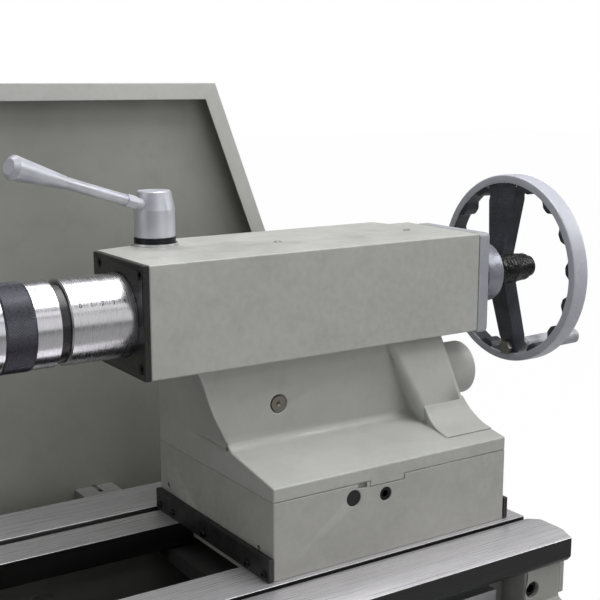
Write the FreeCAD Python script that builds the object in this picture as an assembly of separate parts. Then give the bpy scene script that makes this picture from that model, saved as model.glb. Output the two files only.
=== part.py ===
"""Lathe tailstock on the end section of its bed, with the rear splash guard and the rod ends.

Frame: X along the spindle axis, positive towards the handwheel; Y positive to the back of the
lathe; Z up from the bed's underside. X = 0 is the mouth of the tailstock, where the quill leaves
it, and Y = 0 is the plane of centres. All sizes are in millimetres.
"""
import FreeCAD, Part
import math
import os

V = FreeCAD.Vector
os.makedirs("parts", exist_ok=True)

# ---- overall sizes ----
bed_height = 300.0           # underside of the bed to the flat ways
centre_height = 231.6        # flat ways to the quill axis
bed_left = -415.0            # joint face to the next bed section
bed_right = 385.0
way_half_width = 181.2       # plane of centres to the outer edge of either outer way
fit_gap = 0.05               # radial clearance of running fits
slide_gap = 0.1              # oil film between flat sliding faces
clear = 0.5                  # clearance where nothing is meant to touch

# ---- bed section ----
way_depth = 25.0
front_inner_way = (-116.0, -64.0)
rear_inner_way = (60.0, 103.0)
crown_height = 4.3
crown_outer, crown_inner = -160.0, -139.0
way_groove = 6.0
bed_wall = 24.0
front_wall_face = -140.0
rear_wall_face = 132.0
foot_thickness = 26.0
foot_outer = 185.0
foot_inner = 96.0
rib_pitch = 180.0
rib_thickness = 22.0
rib_drop = 62.0              # rib tops below the ways, clear of the clamp plate
rib_round = 7.0
cross_foot_length = 120.0
anchor_radius = 9.0
anchor_x, anchor_y = 300.0, 165.0
flange_bolt_radius = 7.0
flange_bolt_heights = (80.0, 235.0)

# ---- rack, rods and rod-end bracket ----
rack_drop = 20.0             # under the front way
rack_height, rack_width = 26.0, 16.0
rack_right = 311.0
rack_module = 2.5
rack_screw_pitch = 120.0
bracket_left, bracket_right = 334.0, 381.0
bracket_depth, bracket_drop = 62.0, 170.0
bracket_nose, bracket_step = 32.0, 38.0
leadscrew_radius, feed_rod_radius, control_rod_radius = 15.0, 12.0, 11.0
rod_offset = 30.0            # bed wall to the rods' axes
leadscrew_drop, feed_rod_drop, control_rod_drop = 92.0, 130.0, 163.0
thread_pitch, thread_depth = 6.0, 2.2
end_plate_thick, end_plate_reach = 6.0, 27.0

# ---- splash guard ----
guard_front, guard_back = 195.0, 217.0
guard_top = 199.0            # above the quill axis
guard_drop = 68.4            # below the flat ways
guard_lip = 17.5
guard_sheet = 1.5
guard_right_top, guard_right_bottom = 208.0, 398.0
guard_bracket_x = (-330.0, 60.0, 300.0)

# ---- tailstock base ----
base_left, base_right = 89.5, 361.5
base_half_width = 109.3
base_height = 72.4
jog_left, jog_right, jog_drop = 194.0, 234.6, 5.5
base_wall, base_roof = 22.0, 32.0
tongue_depth = 18.0
tongue_left, tongue_right = (100.0, 128.0), (300.0, 350.0)
wiper_thick, wiper_height, wiper_proud = 5.5, 21.6, 0.6
wiper_screw_y = (100.6, 72.9, 8.4, -73.5, -102.6)
plug_x, plug_drop, plug_radius = 175.8, 12.6, 7.8
set_screw_x, set_screw_radius, set_screw_drop = 212.5, 6.5, 15.6
notch_left, notch_right, notch_drop = 180.6, 190.6, 5.0
set_over_travel = 6.0
cross_key_width, cross_key_height = 16.0, 9.0

# ---- tailstock body ----
housing_length = 390.7
housing_front, housing_back, housing_top, housing_bottom = -48.3, 50.5, 49.5, -50.9
plate_thick = 5.6
cover_thick = 15.1
boss_left, boss_right, boss_back = 50.0, 344.0, 91.0
boss_end_back = 68.0
flange_height = 13.3
ledge_rise = 14.0
neck_front, neck_back = -30.0, 109.3
neck_left_top, neck_left_bottom = 57.0, 89.5
neck_inside = 116.0
wall_sweep, column_sweep = 9.0, 22.0
column_left, column_right_top = 285.0, 340.0
column_left_top, column_left_bottom, column_round = 268.0, 306.0, 8.0
column_front_top, column_front_bottom = -36.0, -62.0
brake_boss_radius, brake_boss_drop, brake_boss_end = 28.0, 101.0, 394.0
oiler_x = (172.6, 330.0)
oiler_y, oiler_radius = 13.4, 3.6

# ---- quill and live centre ----
quill_radius = 37.5
quill_out = 59.0
quill_length = 274.0
quill_retract = 30.0
taper_radius, taper_length = 15.6, 103.0
taper_slope = 0.026
key_width, key_depth = 10.0, 4.0
neck_ring_radius, neck_ring_length = 34.5, 9.0
centre_ring_length, knurl_length = 21.0, 26.0
knurl_proud = 0.6
spin_cone_length, point_length = 46.0, 44.0
spin_radius_small = 26.0

# ---- feed screw and handwheel ----
screw_radius = 14.0
screw_lead = 5.0
screw_tip = 80.0
nut_radius, nut_length = 31.0, 25.0
journal_radius = 11.0
bearing_outer, bearing_width = 24.0, 12.0
bearing_cover_radius, bearing_cover_length = 30.0, 15.0
dial_radius = 32.0
wheel_front, wheel_radius, rim_depth, rim_width = 457.2, 102.0, 20.0, 9.0
hub_front, hub_end, hub_radius = 429.5, 487.0, 15.5
grip_bumps, bump_height = 14, 3.6
upper_spoke, lower_spoke, spoke_thick = (28.0, 47.0), (24.0, 19.0), 17.0
wheel_angle = 6.0            # the wheel stands turned this far, its upper spoke to the back
crank_drop, crank_radius, crank_end = 86.5, 8.0, 563.0
crank_pin_radius = 4.5

# ---- quill lock ----
lock_x, lock_y = 67.0, 64.0
seat_ring_radius, collar_radius, hub_lever_radius = 21.5, 19.9, 19.4
seat_ring_height, collar_height = 2.2, 4.8
lever_hub_side, lever_hub_top, lever_hub_top_radius = 33.5, 51.0, 16.0
lever_start_height = 34.1
lever_turn, lever_rise = 20.0, 16.2
lever_rod_radius, lever_grip_start, lever_grip_end = 5.3, 115.0, 176.0
grip_small_radius, grip_large_radius = 5.8, 10.8
hex_start, hex_end, hex_radius = 28.0, 40.0, 6.6
stud_radius = 7.0
shoe_radius, shoe_arm = 17.0, 22.0
shoe_gap = 0.4

# ---- bed clamp ----
clamp_x, clamp_drop = 145.6, 96.9
shaft_radius, eccentric_radius, eccentric_throw = 7.5, 12.0, 3.0
eccentric_y, eccentric_width = -2.0, 22.0
shaft_rear = 140.0
strap_gap = 0.8
strap_outer = 21.0
draw_radius = 9.0
clamp_plate_length, clamp_plate_half, clamp_plate_thick = 140.0, 86.0, 16.0
clamp_rest_gap = 2.0
clamp_nut_height = 13.0
clamp_lever_length, clamp_knob_radius = 150.0, 15.0

axis_z = bed_height + centre_height
way_z = bed_height
base_top = way_z + base_height
bed_length = bed_right - bed_left


# ---- shape helpers ----
def block(x0, x1, y0, y1, z0, z1):
    return Part.makeBox(x1 - x0, y1 - y0, z1 - z0, V(x0, y0, z0))


def rod(radius, length, start, direction):
    return Part.makeCylinder(radius, length, start, direction)


def rod_x(radius, x0, x1, y=0.0, z=axis_z):
    return rod(radius, x1 - x0, V(x0, y, z), V(1, 0, 0))


def rod_y(radius, y0, y1, x, z):
    return rod(radius, y1 - y0, V(x, y0, z), V(0, 1, 0))


def rod_z(radius, z0, z1, x, y):
    return rod(radius, z1 - z0, V(x, y, z0), V(0, 0, 1))


def ring_x(outer, inner, x0, x1, y=0.0, z=axis_z):
    return rod_x(outer, x0, x1, y, z).cut(rod_x(inner, x0 - 1, x1 + 1, y, z))


def slab(points, start, vector):
    """A flat outline of (a, b) pairs in the plane across vector, pushed along vector."""
    if vector.x:
        corners = [V(start, a, b) for a, b in points]
    elif vector.y:
        corners = [V(a, start, b) for a, b in points]
    else:
        corners = [V(a, b, start) for a, b in points]
    return Part.Face(Part.makePolygon(corners + corners[:1])).extrude(vector)


def turned_x(profile, y=0.0, z=axis_z):
    """A solid turned about an X axis, from (x, radius) pairs."""
    corners = [V(x, y, z + radius) for x, radius in profile]
    corners = [V(profile[0][0], y, z)] + corners + [V(profile[-1][0], y, z)]
    face = Part.Face(Part.makePolygon(corners + corners[:1]))
    return face.revolve(V(0, y, z), V(1, 0, 0), 360)


def turned_z(profile, x, y):
    """A solid turned about a Z axis, from (z, radius) pairs."""
    corners = [V(x + radius, y, z) for z, radius in profile]
    corners = [V(x, y, profile[0][0])] + corners + [V(x, y, profile[-1][0])]
    face = Part.Face(Part.makePolygon(corners + corners[:1]))
    return face.revolve(V(x, y, 0), V(0, 0, 1), 360)


def fused(shapes):
    whole = shapes[0]
    for shape in shapes[1:]:
        whole = whole.fuse(shape)
    return whole.removeSplitter()


def cut_all(shape, tools):
    for tool in tools:
        shape = shape.cut(tool)
    return shape


def hex_socket(across, depth, centre, outward):
    """The hexagonal hole in the head of a socket screw, sunk below centre."""
    corners = []
    side = outward.cross(V(0.3, 0.5, 0.81)).normalize()
    for step in range(7):
        corner = FreeCAD.Rotation(outward, 60.0 * step).multVec(side) * (across / math.sqrt(3))
        corners.append(centre + corner)
    return Part.Face(Part.makePolygon(corners)).extrude(outward * -depth)


def cap_screw(head_radius, head_height, shank_radius, shank_length, seat, outward):
    """A socket screw whose head stands on seat and points outward."""
    head = rod(head_radius, head_height, seat, outward)
    shank = rod(shank_radius, shank_length + 0.5, seat + outward * 0.5, outward * -1)
    socket = hex_socket(head_radius * 1.05, head_height * 0.55, seat + outward * head_height, outward)
    return head.fuse(shank).cut(socket)


def save(name, solids):
    solids = solids if isinstance(solids, list) else [solids]
    pieces = [one for shape in solids for one in shape.Solids]
    shape = pieces[0] if len(pieces) == 1 else Part.makeCompound(pieces)
    shape.exportStep("parts/" + name + ".step")


# ---- bed casting: two walls under ground ways, tied by ribs, a base flange and end flanges ----
def bed_casting():
    under = way_z - way_depth
    front_way = [
        (-way_half_width, under + 5), (-way_half_width, way_z - 1), (crown_outer - 9, way_z + crown_height - 0.4),
        (crown_outer, way_z + crown_height), (crown_inner, way_z + crown_height),
        (front_inner_way[0] - 4, way_z - 1.4), (front_inner_way[0] - 4, way_z - way_groove),
        (front_inner_way[0], way_z - way_groove), (front_inner_way[0], way_z),
        (front_inner_way[1], way_z), (front_inner_way[1], under), (-way_half_width + 4, under)]
    rear_way = [
        (rear_inner_way[0], under), (rear_inner_way[0], way_z), (rear_inner_way[1], way_z),
        (rear_inner_way[1] + 2, way_z - way_groove), (rear_inner_way[1] + 10, way_z - way_groove),
        (rear_inner_way[1] + 11, way_z), (way_half_width - 3, way_z),
        (way_half_width, way_z - 3), (way_half_width, under)]
    along = V(bed_length, 0, 0)
    shapes = [slab(front_way, bed_left, along), slab(rear_way, bed_left, along)]
    for face, side in ((front_wall_face, 1), (rear_wall_face, -1)):
        low, high = sorted((face, face + side * bed_wall))
        shapes.append(block(bed_left, bed_right, low, high, 0, under))
        low, high = sorted((-side * foot_outer, -side * foot_inner))
        shapes.append(block(bed_left, bed_right, low, high, 0, foot_thickness))
    wall_in_front, wall_in_rear = front_wall_face + bed_wall, rear_wall_face - bed_wall
    for x in rib_places():
        rib = block(x, x + rib_thickness, wall_in_front, wall_in_rear, 0, way_z - rib_drop)
        tops = [edge for edge in rib.Edges if edge.BoundBox.ZMin > way_z - rib_drop - 1 and edge.BoundBox.YLength > 1]
        shapes.append(rib.makeFillet(rib_round, tops))
    half_foot = cross_foot_length / 2
    shapes.append(block(-half_foot, half_foot, -foot_outer, foot_outer, 0, foot_thickness))
    bed = fused(shapes)
    holes = []
    for x in (-anchor_x, anchor_x):
        for y in (-anchor_y, anchor_y):
            holes.append(rod_z(anchor_radius, -1, foot_thickness + 1, x, y))
    for y in (front_wall_face + bed_wall / 2, rear_wall_face - bed_wall / 2):
        for z in flange_bolt_heights:
            holes.append(rod_x(flange_bolt_radius, bed_left - 1, bed_left + rib_thickness * 1.6, y, z))
    for x in rack_screw_places():
        holes.append(rod_y(3.0, front_wall_face - 1, front_wall_face + 14, x, rack_screw_z))
    for y, z in bracket_screw_places():
        holes.append(rod_y(6.0, front_wall_face - 1, front_wall_face + 20, bracket_screw_x, z))
    for y, z in cover_plate_screws():
        holes.append(rod_x(3.0, bed_right - 12, bed_right + 1, y, z))
    return cut_all(bed, holes)


def rib_places():
    count = int((bed_length - rib_thickness) / rib_pitch)
    return [bed_left + index * rib_pitch for index in range(count + 1)] + [bed_right - rib_thickness]


rack_top = way_z - way_depth - rack_drop
rack_screw_z = rack_top - rack_height * 0.38


def rack_screw_places():
    count = int((rack_right - bed_left - 40) / rack_screw_pitch)
    return [bed_left + 40 + rack_screw_pitch * index for index in range(count + 1)]


def rack():
    pitch = math.pi * rack_module
    bottom = rack_top - rack_height
    outline = [(bed_left, rack_top), (bed_left, bottom)]
    count = int((rack_right - bed_left) / pitch)
    for index in range(count):
        x = bed_left + index * pitch
        outline += [(x + 0.15 * pitch, bottom), (x + 0.35 * pitch, bottom + 2.25 * rack_module),
                    (x + 0.65 * pitch, bottom + 2.25 * rack_module), (x + 0.85 * pitch, bottom)]
    outline += [(rack_right, bottom), (rack_right, rack_top)]
    bar = slab(outline, front_wall_face - rack_width, V(0, rack_width, 0))
    for x in rack_screw_places():
        bar = bar.cut(rod_y(3.0, front_wall_face - rack_width - 1, front_wall_face + 1, x, rack_screw_z))
        bar = bar.cut(rod_y(5.2, front_wall_face - rack_width - 1, front_wall_face - rack_width + 6, x, rack_screw_z))
    return bar


def rack_screws():
    seat_y = front_wall_face - rack_width + 6
    return [cap_screw(4.8, 5.0, 2.95, 22, V(x, seat_y, rack_screw_z), V(0, -1, 0)) for x in rack_screw_places()]


# ---- rods and the bracket that carries their ends ----
rod_y_place = front_wall_face - rod_offset
rod_places = {
    "leadscrew": (leadscrew_radius, way_z - leadscrew_drop),
    "feed_rod": (feed_rod_radius, way_z - feed_rod_drop),
    "control_rod": (control_rod_radius, way_z - control_rod_drop)}
journal_share = 0.72
bracket_top = way_z - way_depth - slide_gap
bracket_screw_x = bracket_left + 10


def rod_end_bracket():
    """Casting with a narrow top under the way and a deeper foot that carries the rods."""
    front, nose = front_wall_face - bracket_depth, front_wall_face - bracket_nose
    low, step = bracket_top - bracket_drop, bracket_top - bracket_step
    outline = [(front_wall_face, bracket_top), (nose, bracket_top), (nose, step), (front, step - 14),
               (front, low), (front_wall_face, low)]
    body = slab(outline, bracket_left, V(bracket_right - bracket_left, 0, 0))
    body = body.makeFillet(3, [edge for edge in body.Edges
                               if edge.BoundBox.YMax < nose + 1 and edge.BoundBox.ZLength > 1])
    for radius, z in rod_places.values():
        body = body.cut(rod_x(radius * journal_share + fit_gap, bracket_left - 1, bracket_right + 1, rod_y_place, z))
    for y, z in bracket_screw_places():
        body = body.cut(rod_y(6.0, front - 1, front_wall_face + 1, bracket_screw_x, z))
        body = body.cut(rod_y(8.0, front - 1, y + 13, bracket_screw_x, z))
    return body


def bracket_screw_places():
    """The face that each screw is sunk in, and its height."""
    return [(front_wall_face - bracket_nose, bracket_top - 23), (front_wall_face - bracket_depth, bracket_top - bracket_drop + 12)]


def bracket_screws():
    return [cap_screw(7.6, 9.0, 5.9, front_wall_face - y + 4, V(bracket_screw_x, y + 13, z), V(0, -1, 0))
            for y, z in bracket_screw_places()]


def rod_end(name):
    """A plain rod whose journal runs in the bracket, held from sliding by a collar past it."""
    radius, z = rod_places[name]
    journal = radius * journal_share
    body = rod_x(radius, bed_left, bracket_left - clear, rod_y_place, z)
    if name == "leadscrew":
        count = int((bracket_left - 60 - bed_left) / thread_pitch)
        grooves = [ring_x(radius + 1, radius - thread_depth, bed_left + (index + 0.5) * thread_pitch,
                          bed_left + (index + 1) * thread_pitch, rod_y_place, z) for index in range(count)]
        body = body.cut(Part.makeCompound(grooves))
    if name == "feed_rod":
        body = body.cut(block(bed_left - 1, bracket_left - 40, rod_y_place - 3, rod_y_place + 3, z + radius - 4, z + radius + 1))
    body = body.fuse(rod_x(journal, bracket_left - clear - 1, bracket_right + 12, rod_y_place, z))
    return body.fuse(rod_x(radius, bracket_right + clear, bracket_right + 12, rod_y_place, z)).removeSplitter()


def cover_plate_screws():
    return [(y, z) for y in (front_wall_face + 12, rear_wall_face - 12) for z in (40.0, way_z - way_depth - 18)]


def bed_end_cover():
    outline = block(bed_right, bed_right + end_plate_thick, front_wall_face, rear_wall_face, foot_thickness + 2,
                    way_z - way_depth)
    outline = outline.fuse(block(bed_right, bed_right + end_plate_thick, front_wall_face - end_plate_reach,
                                 front_wall_face + 1, bracket_top - bracket_step, way_z - way_depth)).removeSplitter()
    return cut_all(outline, [rod_x(3.2, bed_right - 1, bed_right + 10, y, z) for y, z in cover_plate_screws()])


def bed_cover_screws():
    return [cap_screw(5.5, 5.0, 2.95, end_plate_thick + 10, V(bed_right + end_plate_thick, y, z), V(1, 0, 0))
            for y, z in cover_plate_screws()]


# ---- splash guard: a shallow folded pan standing behind the bed ----
def guard_outline(inset):
    """Corners of the guard seen from the front, moved in by inset from the outer edge."""
    top = axis_z + guard_top - inset
    bottom = way_z - guard_drop + inset
    lean = (guard_right_bottom - guard_right_top) / (axis_z + guard_top - way_z + guard_drop)
    shift = inset * math.hypot(1, lean)
    left = bed_left + inset
    low_x = guard_right_bottom + lean * -(inset) - shift
    high_x = guard_right_top + lean * inset - shift
    return [(left, bottom), (low_x, bottom), (high_x, top), (left, top)]


def splash_guard():
    depth = guard_back - guard_front
    shell = slab(guard_outline(0), guard_front, V(0, depth, 0))
    hollow = slab(guard_outline(guard_sheet), guard_front + guard_sheet, V(0, depth - 2 * guard_sheet, 0))
    window = slab(guard_outline(guard_lip), guard_front - 1, V(0, guard_sheet + 2, 0))
    pan = shell.cut(hollow).cut(window)
    for x in guard_bracket_x:
        for z in guard_screw_z:
            pan = pan.cut(rod_y(3.1, guard_back - 3, guard_back + 1, x, z))
    return pan


guard_screw_z = (way_z - 6, way_z - 22)
bracket_half = 22.0


def guard_brackets():
    """Blocks bolted to the back of the bed that stand the guard off behind it."""
    brackets = []
    for x in guard_bracket_x:
        arm = block(x - bracket_half, x + bracket_half, way_half_width, guard_back - guard_sheet,
                    way_z - way_depth, way_z - 3.5)
        for z in guard_screw_z:
            arm = arm.cut(rod_y(3.0, guard_back - 22, guard_back + 1, x, z))
        brackets.append(arm)
    return brackets


def guard_screws():
    screws = []
    for x in guard_bracket_x:
        for z in guard_screw_z:
            screws.append(cap_screw(5.5, 3.5, 2.95, 18, V(x, guard_back, z), V(0, 1, 0)))
    return screws


# ---- tailstock base: slides on the inner ways, with a pocket and a guide tongue between them ----
def base_casting():
    half = base_half_width
    body = block(base_left, base_right, -half, half, way_z + slide_gap, base_top)
    body = body.makeFillet(1.5, [edge for edge in body.Edges if abs(edge.BoundBox.ZLength - base_height) < 1])
    pocket = block(base_left + base_wall, base_right - base_wall, front_inner_way[1] + 8, rear_inner_way[0] - 8,
                   way_z - 1, base_top - base_roof)
    jog = block(jog_left, jog_right, -half - 1, half + 1, base_top - jog_drop, base_top + 1)
    body = body.cut(pocket).cut(jog)
    for low, high in (tongue_left, tongue_right):
        body = body.fuse(block(low, high, front_inner_way[1] + slide_gap, rear_inner_way[0] - slide_gap,
                               way_z - tongue_depth, way_z + 5))
    slot = block(clamp_x - draw_radius - 2, clamp_x + draw_radius + 2, eccentric_y - draw_radius - 9,
                 eccentric_y + draw_radius + 9, way_z - 1, base_top + 1)
    lug_pocket = block(jog_left + 6, jog_right - 6, -lug_half - set_over_travel - clear,
                       lug_half + set_over_travel + clear, base_top - lug_drop - clear, base_top + 1)
    key_slot = block(key_x0, key_x1, -70, 70, base_top - cross_key_height + 3, base_top + 1)
    body = cut_all(body, [slot, lug_pocket, key_slot])
    body = body.cut(rod_y(plug_radius, -half - 1, -half + 9, plug_x, base_top - plug_drop))
    body = body.cut(block(notch_left, notch_right, -half - 1, -half + 4, base_top - notch_drop, base_top + 1))
    for side in (-1, 1):
        low, high = sorted((side * (lug_half - set_over_travel - 1), side * (half + 1)))
        body = body.cut(rod_y(set_screw_radius + slide_gap, low, high, set_screw_x, base_top - set_screw_drop))
    for y in wiper_screw_y:
        for x0 in (base_left - 1, base_right - 11):
            body = body.cut(rod_x(2.0, x0, x0 + 12, y, wiper_screw_z))
    for y, z in ((92.0, 28.8), (-83.5, 23.1)):
        body = body.cut(rod_x(2.6, base_left - 1, base_left + 8, y, way_z + z))
    for x in key_screw_x:
        body = body.cut(rod_z(2.5, base_top - 24, base_top + 1, x, 0))
    return body.removeSplitter()


lug_half, lug_drop = 60.0, 21.0
key_x0, key_x1 = 270.0, 270.0 + cross_key_width
key_screw_x = ((key_x0 + key_x1) / 2,)
wiper_screw_z = way_z + 6.5


def way_wiper(end):
    """A felt-backed strip screwed on one end of the base, standing just proud of its sides."""
    x0, x1 = (base_left - wiper_thick, base_left) if end == "left" else (base_right, base_right + wiper_thick)
    half = base_half_width + wiper_proud
    strip = block(x0, x1, -half, half, way_z + slide_gap, way_z + wiper_height)
    return cut_all(strip, [rod_x(2.1, x0 - 1, x1 + 1, y, wiper_screw_z) for y in wiper_screw_y])


def wiper_screws():
    screws = []
    for y in wiper_screw_y:
        screws.append(cap_screw(3.6, 2.4, 1.95, 14, V(base_left - wiper_thick, y, wiper_screw_z), V(-1, 0, 0)))
        screws.append(cap_screw(3.6, 2.4, 1.95, 14, V(base_right + wiper_thick, y, wiper_screw_z), V(1, 0, 0)))
    return screws


def base_plug():
    return rod_y(plug_radius, -base_half_width + 1.2, -base_half_width + 9, plug_x, base_top - plug_drop)


def cross_key():
    """Square bar in the base that keeps the body square as it is set over."""
    bar = block(key_x0, key_x1, -70, 70, base_top - cross_key_height + 3, base_top + 3)
    screw_x = key_screw_x[0]
    return bar.cut(rod_z(2.7, base_top - 20, base_top + 9, screw_x, 0)).cut(
        rod_z(4.6, base_top - 2, base_top + 9, screw_x, 0))


def key_screw():
    return cap_screw(4.4, 4.0, 2.45, 18, V(key_screw_x[0], 0, base_top - 2), V(0, 0, 1))


def set_over_screw(side):
    """Socket screw in the base whose tip bears on the body's lug."""
    centre_z = base_top - set_screw_drop
    tip = side * lug_half
    head = side * (base_half_width - 1.5)
    low, high = sorted((tip, head))
    screw = rod_y(set_screw_radius, low, high, set_screw_x, centre_z)
    outward = V(0, side, 0)
    return screw.cut(hex_socket(6.0, 6.0, V(set_screw_x, head, centre_z), outward))


# ---- tailstock body: flange, waisted neck and the square housing round the quill ----
def body_casting():
    half = base_half_width
    z0 = base_top + slide_gap
    ledge_z = z0 + flange_height
    under_housing = axis_z + housing_bottom
    ledge_top = ledge_z + ledge_rise
    section = [(-half, z0), (half, z0), (half, ledge_top), (neck_front, ledge_top), (-half, ledge_z)]
    flange = slab(section, base_left, V(base_right - base_left, 0, 0))
    jog = block(jog_left + clear, jog_right - clear, -half, half, z0 - jog_drop, z0 + 1)
    lug = block(jog_left + 6 + clear, jog_right - 6 - clear, -lug_half, lug_half, base_top - lug_drop, z0 + 1)
    neck = block(neck_inside, column_left + 20, neck_front, neck_back, ledge_top - 1, under_housing + 1)
    shapes = [flange, jog, lug, neck]
    shapes.append(neck_flare(ledge_top, under_housing))
    shapes.append(right_column(ledge_z, ledge_top, under_housing))
    shapes.append(ledge_sweep(base_left, 310.0, neck_front + 1, ledge_top, wall_sweep, ledge_slope(neck_front)))
    shapes.append(ledge_sweep(column_left_bottom - 4, base_right, column_front_bottom + 4, ledge_z + 10, column_sweep, 0.16))
    shapes.append(block(plate_thick, housing_length - cover_thick, housing_front, housing_back,
                        under_housing, axis_z + housing_top))
    shapes.append(rear_boss(under_housing))
    shapes.append(rod_x(brake_boss_radius, column_left, brake_boss_end, 0, axis_z - brake_boss_drop))
    body = fused(shapes)
    return cut_all(body, body_cavities())


def ledge_slope(y):
    """Rise of the ledge for each millimetre back from the flange's front edge."""
    return ledge_rise / (base_half_width + y)


def ledge_sweep(x0, x1, y, z, size, slope):
    """Hollow-curved strip that blends a wall at y into the ledge, whose surface there is at z."""
    high, low = (y, z + size), (y - size * 1.5, z - size * 1.5 * slope)
    corner = (y - size * 0.42, z + size * 0.24)
    edges = [Part.Arc(V(x0, *high), V(x0, *corner), V(x0, *low)).toShape(),
             Part.makeLine(V(x0, *low), V(x0, y, z - size)), Part.makeLine(V(x0, y, z - size), V(x0, *high))]
    return Part.Face(Part.Wire(edges)).extrude(V(x1 - x0, 0, 0))


def neck_flare(ledge_top, under_housing):
    """Left end of the neck: a scooped surface from a lip that leans out under the housing to the flat left face.

    Each level is an outline at one height: the lip's X, how far back the scoop reaches and how deep it is.
    """
    levels = [(under_housing + 0.4, neck_left_top - 2, 100.0, 13.0), (under_housing - 39, neck_left_top + 14.5, 79.0, 13.0),
              (under_housing - 64, neck_left_top + 26.0, 60.0, 8.0), (ledge_top + 1, neck_left_bottom, 40.0, 0.6),
              (ledge_top - 8, neck_left_bottom + 0.3, 32.0, 0.2)]
    wires = []
    for z, lip_x, reach, scoop in levels:
        lip, end = V(lip_x, neck_front, z), V(base_left, reach, z)
        middle = (lip + end) * 0.5 + V(scoop, 0, 0)
        corners = [end, V(base_left, neck_back, z), V(neck_inside, neck_back, z), V(neck_inside, neck_front, z), lip]
        edges = [Part.Arc(lip, middle, end).toShape()]
        edges += [Part.makeLine(first, second) for first, second in zip(corners, corners[1:])]
        wires.append(Part.Wire(edges))
    return Part.makeLoft(wires, True, False)


def right_column(ledge_z, ledge_top, under_housing):
    """The right end of the neck swells forward and outward towards the flange."""
    top = under_housing + 0.5
    low = ledge_z + 2
    upper = [V(column_left_top, column_front_top, top), V(column_right_top, column_front_top, top),
             V(column_right_top, neck_back, top), V(column_left_top, neck_back, top)]
    lower = [V(column_left_bottom, column_front_bottom, low), V(base_right, column_front_bottom, low),
             V(base_right, neck_back, low), V(column_left_bottom, neck_back, low)]
    column = Part.makeLoft([Part.makePolygon(lower + lower[:1]), Part.makePolygon(upper + upper[:1])], True, True)
    corners = [edge for edge in column.Edges if edge.BoundBox.ZLength > 50 and edge.BoundBox.YMax < 0]
    return column.makeFillet(column_round, corners)


def rear_boss(under_housing):
    """Deep pad along the back of the housing that holds the quill lock."""
    outline = [(boss_left, housing_back - 1), (boss_left, boss_back - 8), (boss_left + 8, boss_back),
               (boss_right, boss_back), (boss_right + 4, boss_end_back), (housing_length - cover_thick, boss_end_back),
               (housing_length - cover_thick, housing_back - 1)]
    front_step = [(plate_thick, housing_back - 1), (plate_thick, 60.0), (boss_left, 72.0), (boss_left + 1, housing_back - 1)]
    depth = V(0, 0, axis_z + housing_top - under_housing)
    return slab(outline, under_housing, depth).fuse(slab(front_step, under_housing, depth))


def body_cavities():
    cuts = [rod_x(quill_radius + fit_gap, -1, bore_end)]
    cuts.append(rod_x(bearing_outer + fit_gap, bore_end - 1, housing_length + 1))
    lock_low = axis_z - lock_reach - 6
    cuts.append(rod_z(stud_radius + 0.5, lock_low - 8, axis_z + housing_top + 1, lock_x, lock_y))
    cuts.append(rod_z(seat_ring_radius + 0.2, axis_z + housing_top - 4, axis_z + housing_top + 1, lock_x, lock_y))
    cuts.append(shoe_block(clear, axis_z - lock_reach - 1.5, axis_z + lock_reach + 1.5))
    cuts.append(rod_z(stud_radius + 5, axis_z - lock_reach - 9, axis_z - lock_reach, lock_x, lock_y))
    shaft_z = axis_z - clamp_drop
    cuts.append(rod_y(shaft_radius + fit_gap, neck_front - 1, neck_back + 1, clamp_x, shaft_z))
    cuts.append(rod_y(shaft_radius + 1.5, neck_front - 1, neck_front + 3, clamp_x, shaft_z))
    reach = strap_outer + 5
    cuts.append(block(clamp_x - reach, clamp_x + reach, eccentric_y - eccentric_width / 2 - 3,
                      eccentric_y + eccentric_width / 2 + 3, base_top - 1, axis_z + housing_bottom - 10))
    cuts.append(rod_y(eccentric_radius + eccentric_throw + 1, eccentric_y - 1, neck_back + 1, clamp_x, shaft_z))
    cuts.append(block(key_x0 - slide_gap, key_x1 + slide_gap, -70 - set_over_travel - 1, 70 + set_over_travel + 1,
                      base_top - 1, base_top + 3 + clear))
    for y, z in plate_screw_places():
        cuts.append(rod_x(2.5, plate_thick - 1, plate_thick + 14, y, z))
    for y, z in cover_screw_places():
        cuts.append(rod_x(3.0, housing_length - cover_thick - 16, housing_length - cover_thick + 1, y, z))
    for x in oiler_x:
        cuts.append(rod_z(oiler_radius, axis_z + housing_top - 6, axis_z + housing_top + 1, x, oiler_y))
        cuts.append(rod_z(1.5, axis_z + quill_radius - 2, axis_z + housing_top, x, oiler_y))
    cuts.append(block(*key_box(fit_gap)))
    return cuts


bore_end = 262.0
lock_reach = 34.0
under_key = axis_z - quill_radius
key_x = (20.0, 70.0)


def key_box(gap):
    """The guide key lies in the bottom of the body's bore and stands up into the quill's keyway."""
    return (key_x[0] - gap, key_x[1] + gap, -key_width / 2 - gap, key_width / 2 + gap,
            under_key - 5 - gap, under_key + key_depth - 1)


def plate_screw_places():
    return [(y, axis_z + z) for y in (-41.0, 41.0) for z in (-41.0, 41.0)]


def cover_screw_places():
    return [(y, axis_z + z) for y in (-39.0, 41.0) for z in (-40.0, 40.0)]


def end_plate():
    plate = block(0, plate_thick, housing_front, housing_back + 4, axis_z + housing_bottom, axis_z + housing_top)
    plate = plate.cut(rod_x(quill_radius + 0.3, -1, plate_thick + 1))
    for y, z in plate_screw_places():
        plate = plate.cut(rod_x(2.7, -1, plate_thick + 1, y, z)).cut(rod_x(4.7, -1, 3.0, y, z))
    return plate


def end_plate_screws():
    return [cap_screw(4.5, 2.8, 2.45, 14, V(3.0, y, z), V(-1, 0, 0)) for y, z in plate_screw_places()]


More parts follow.
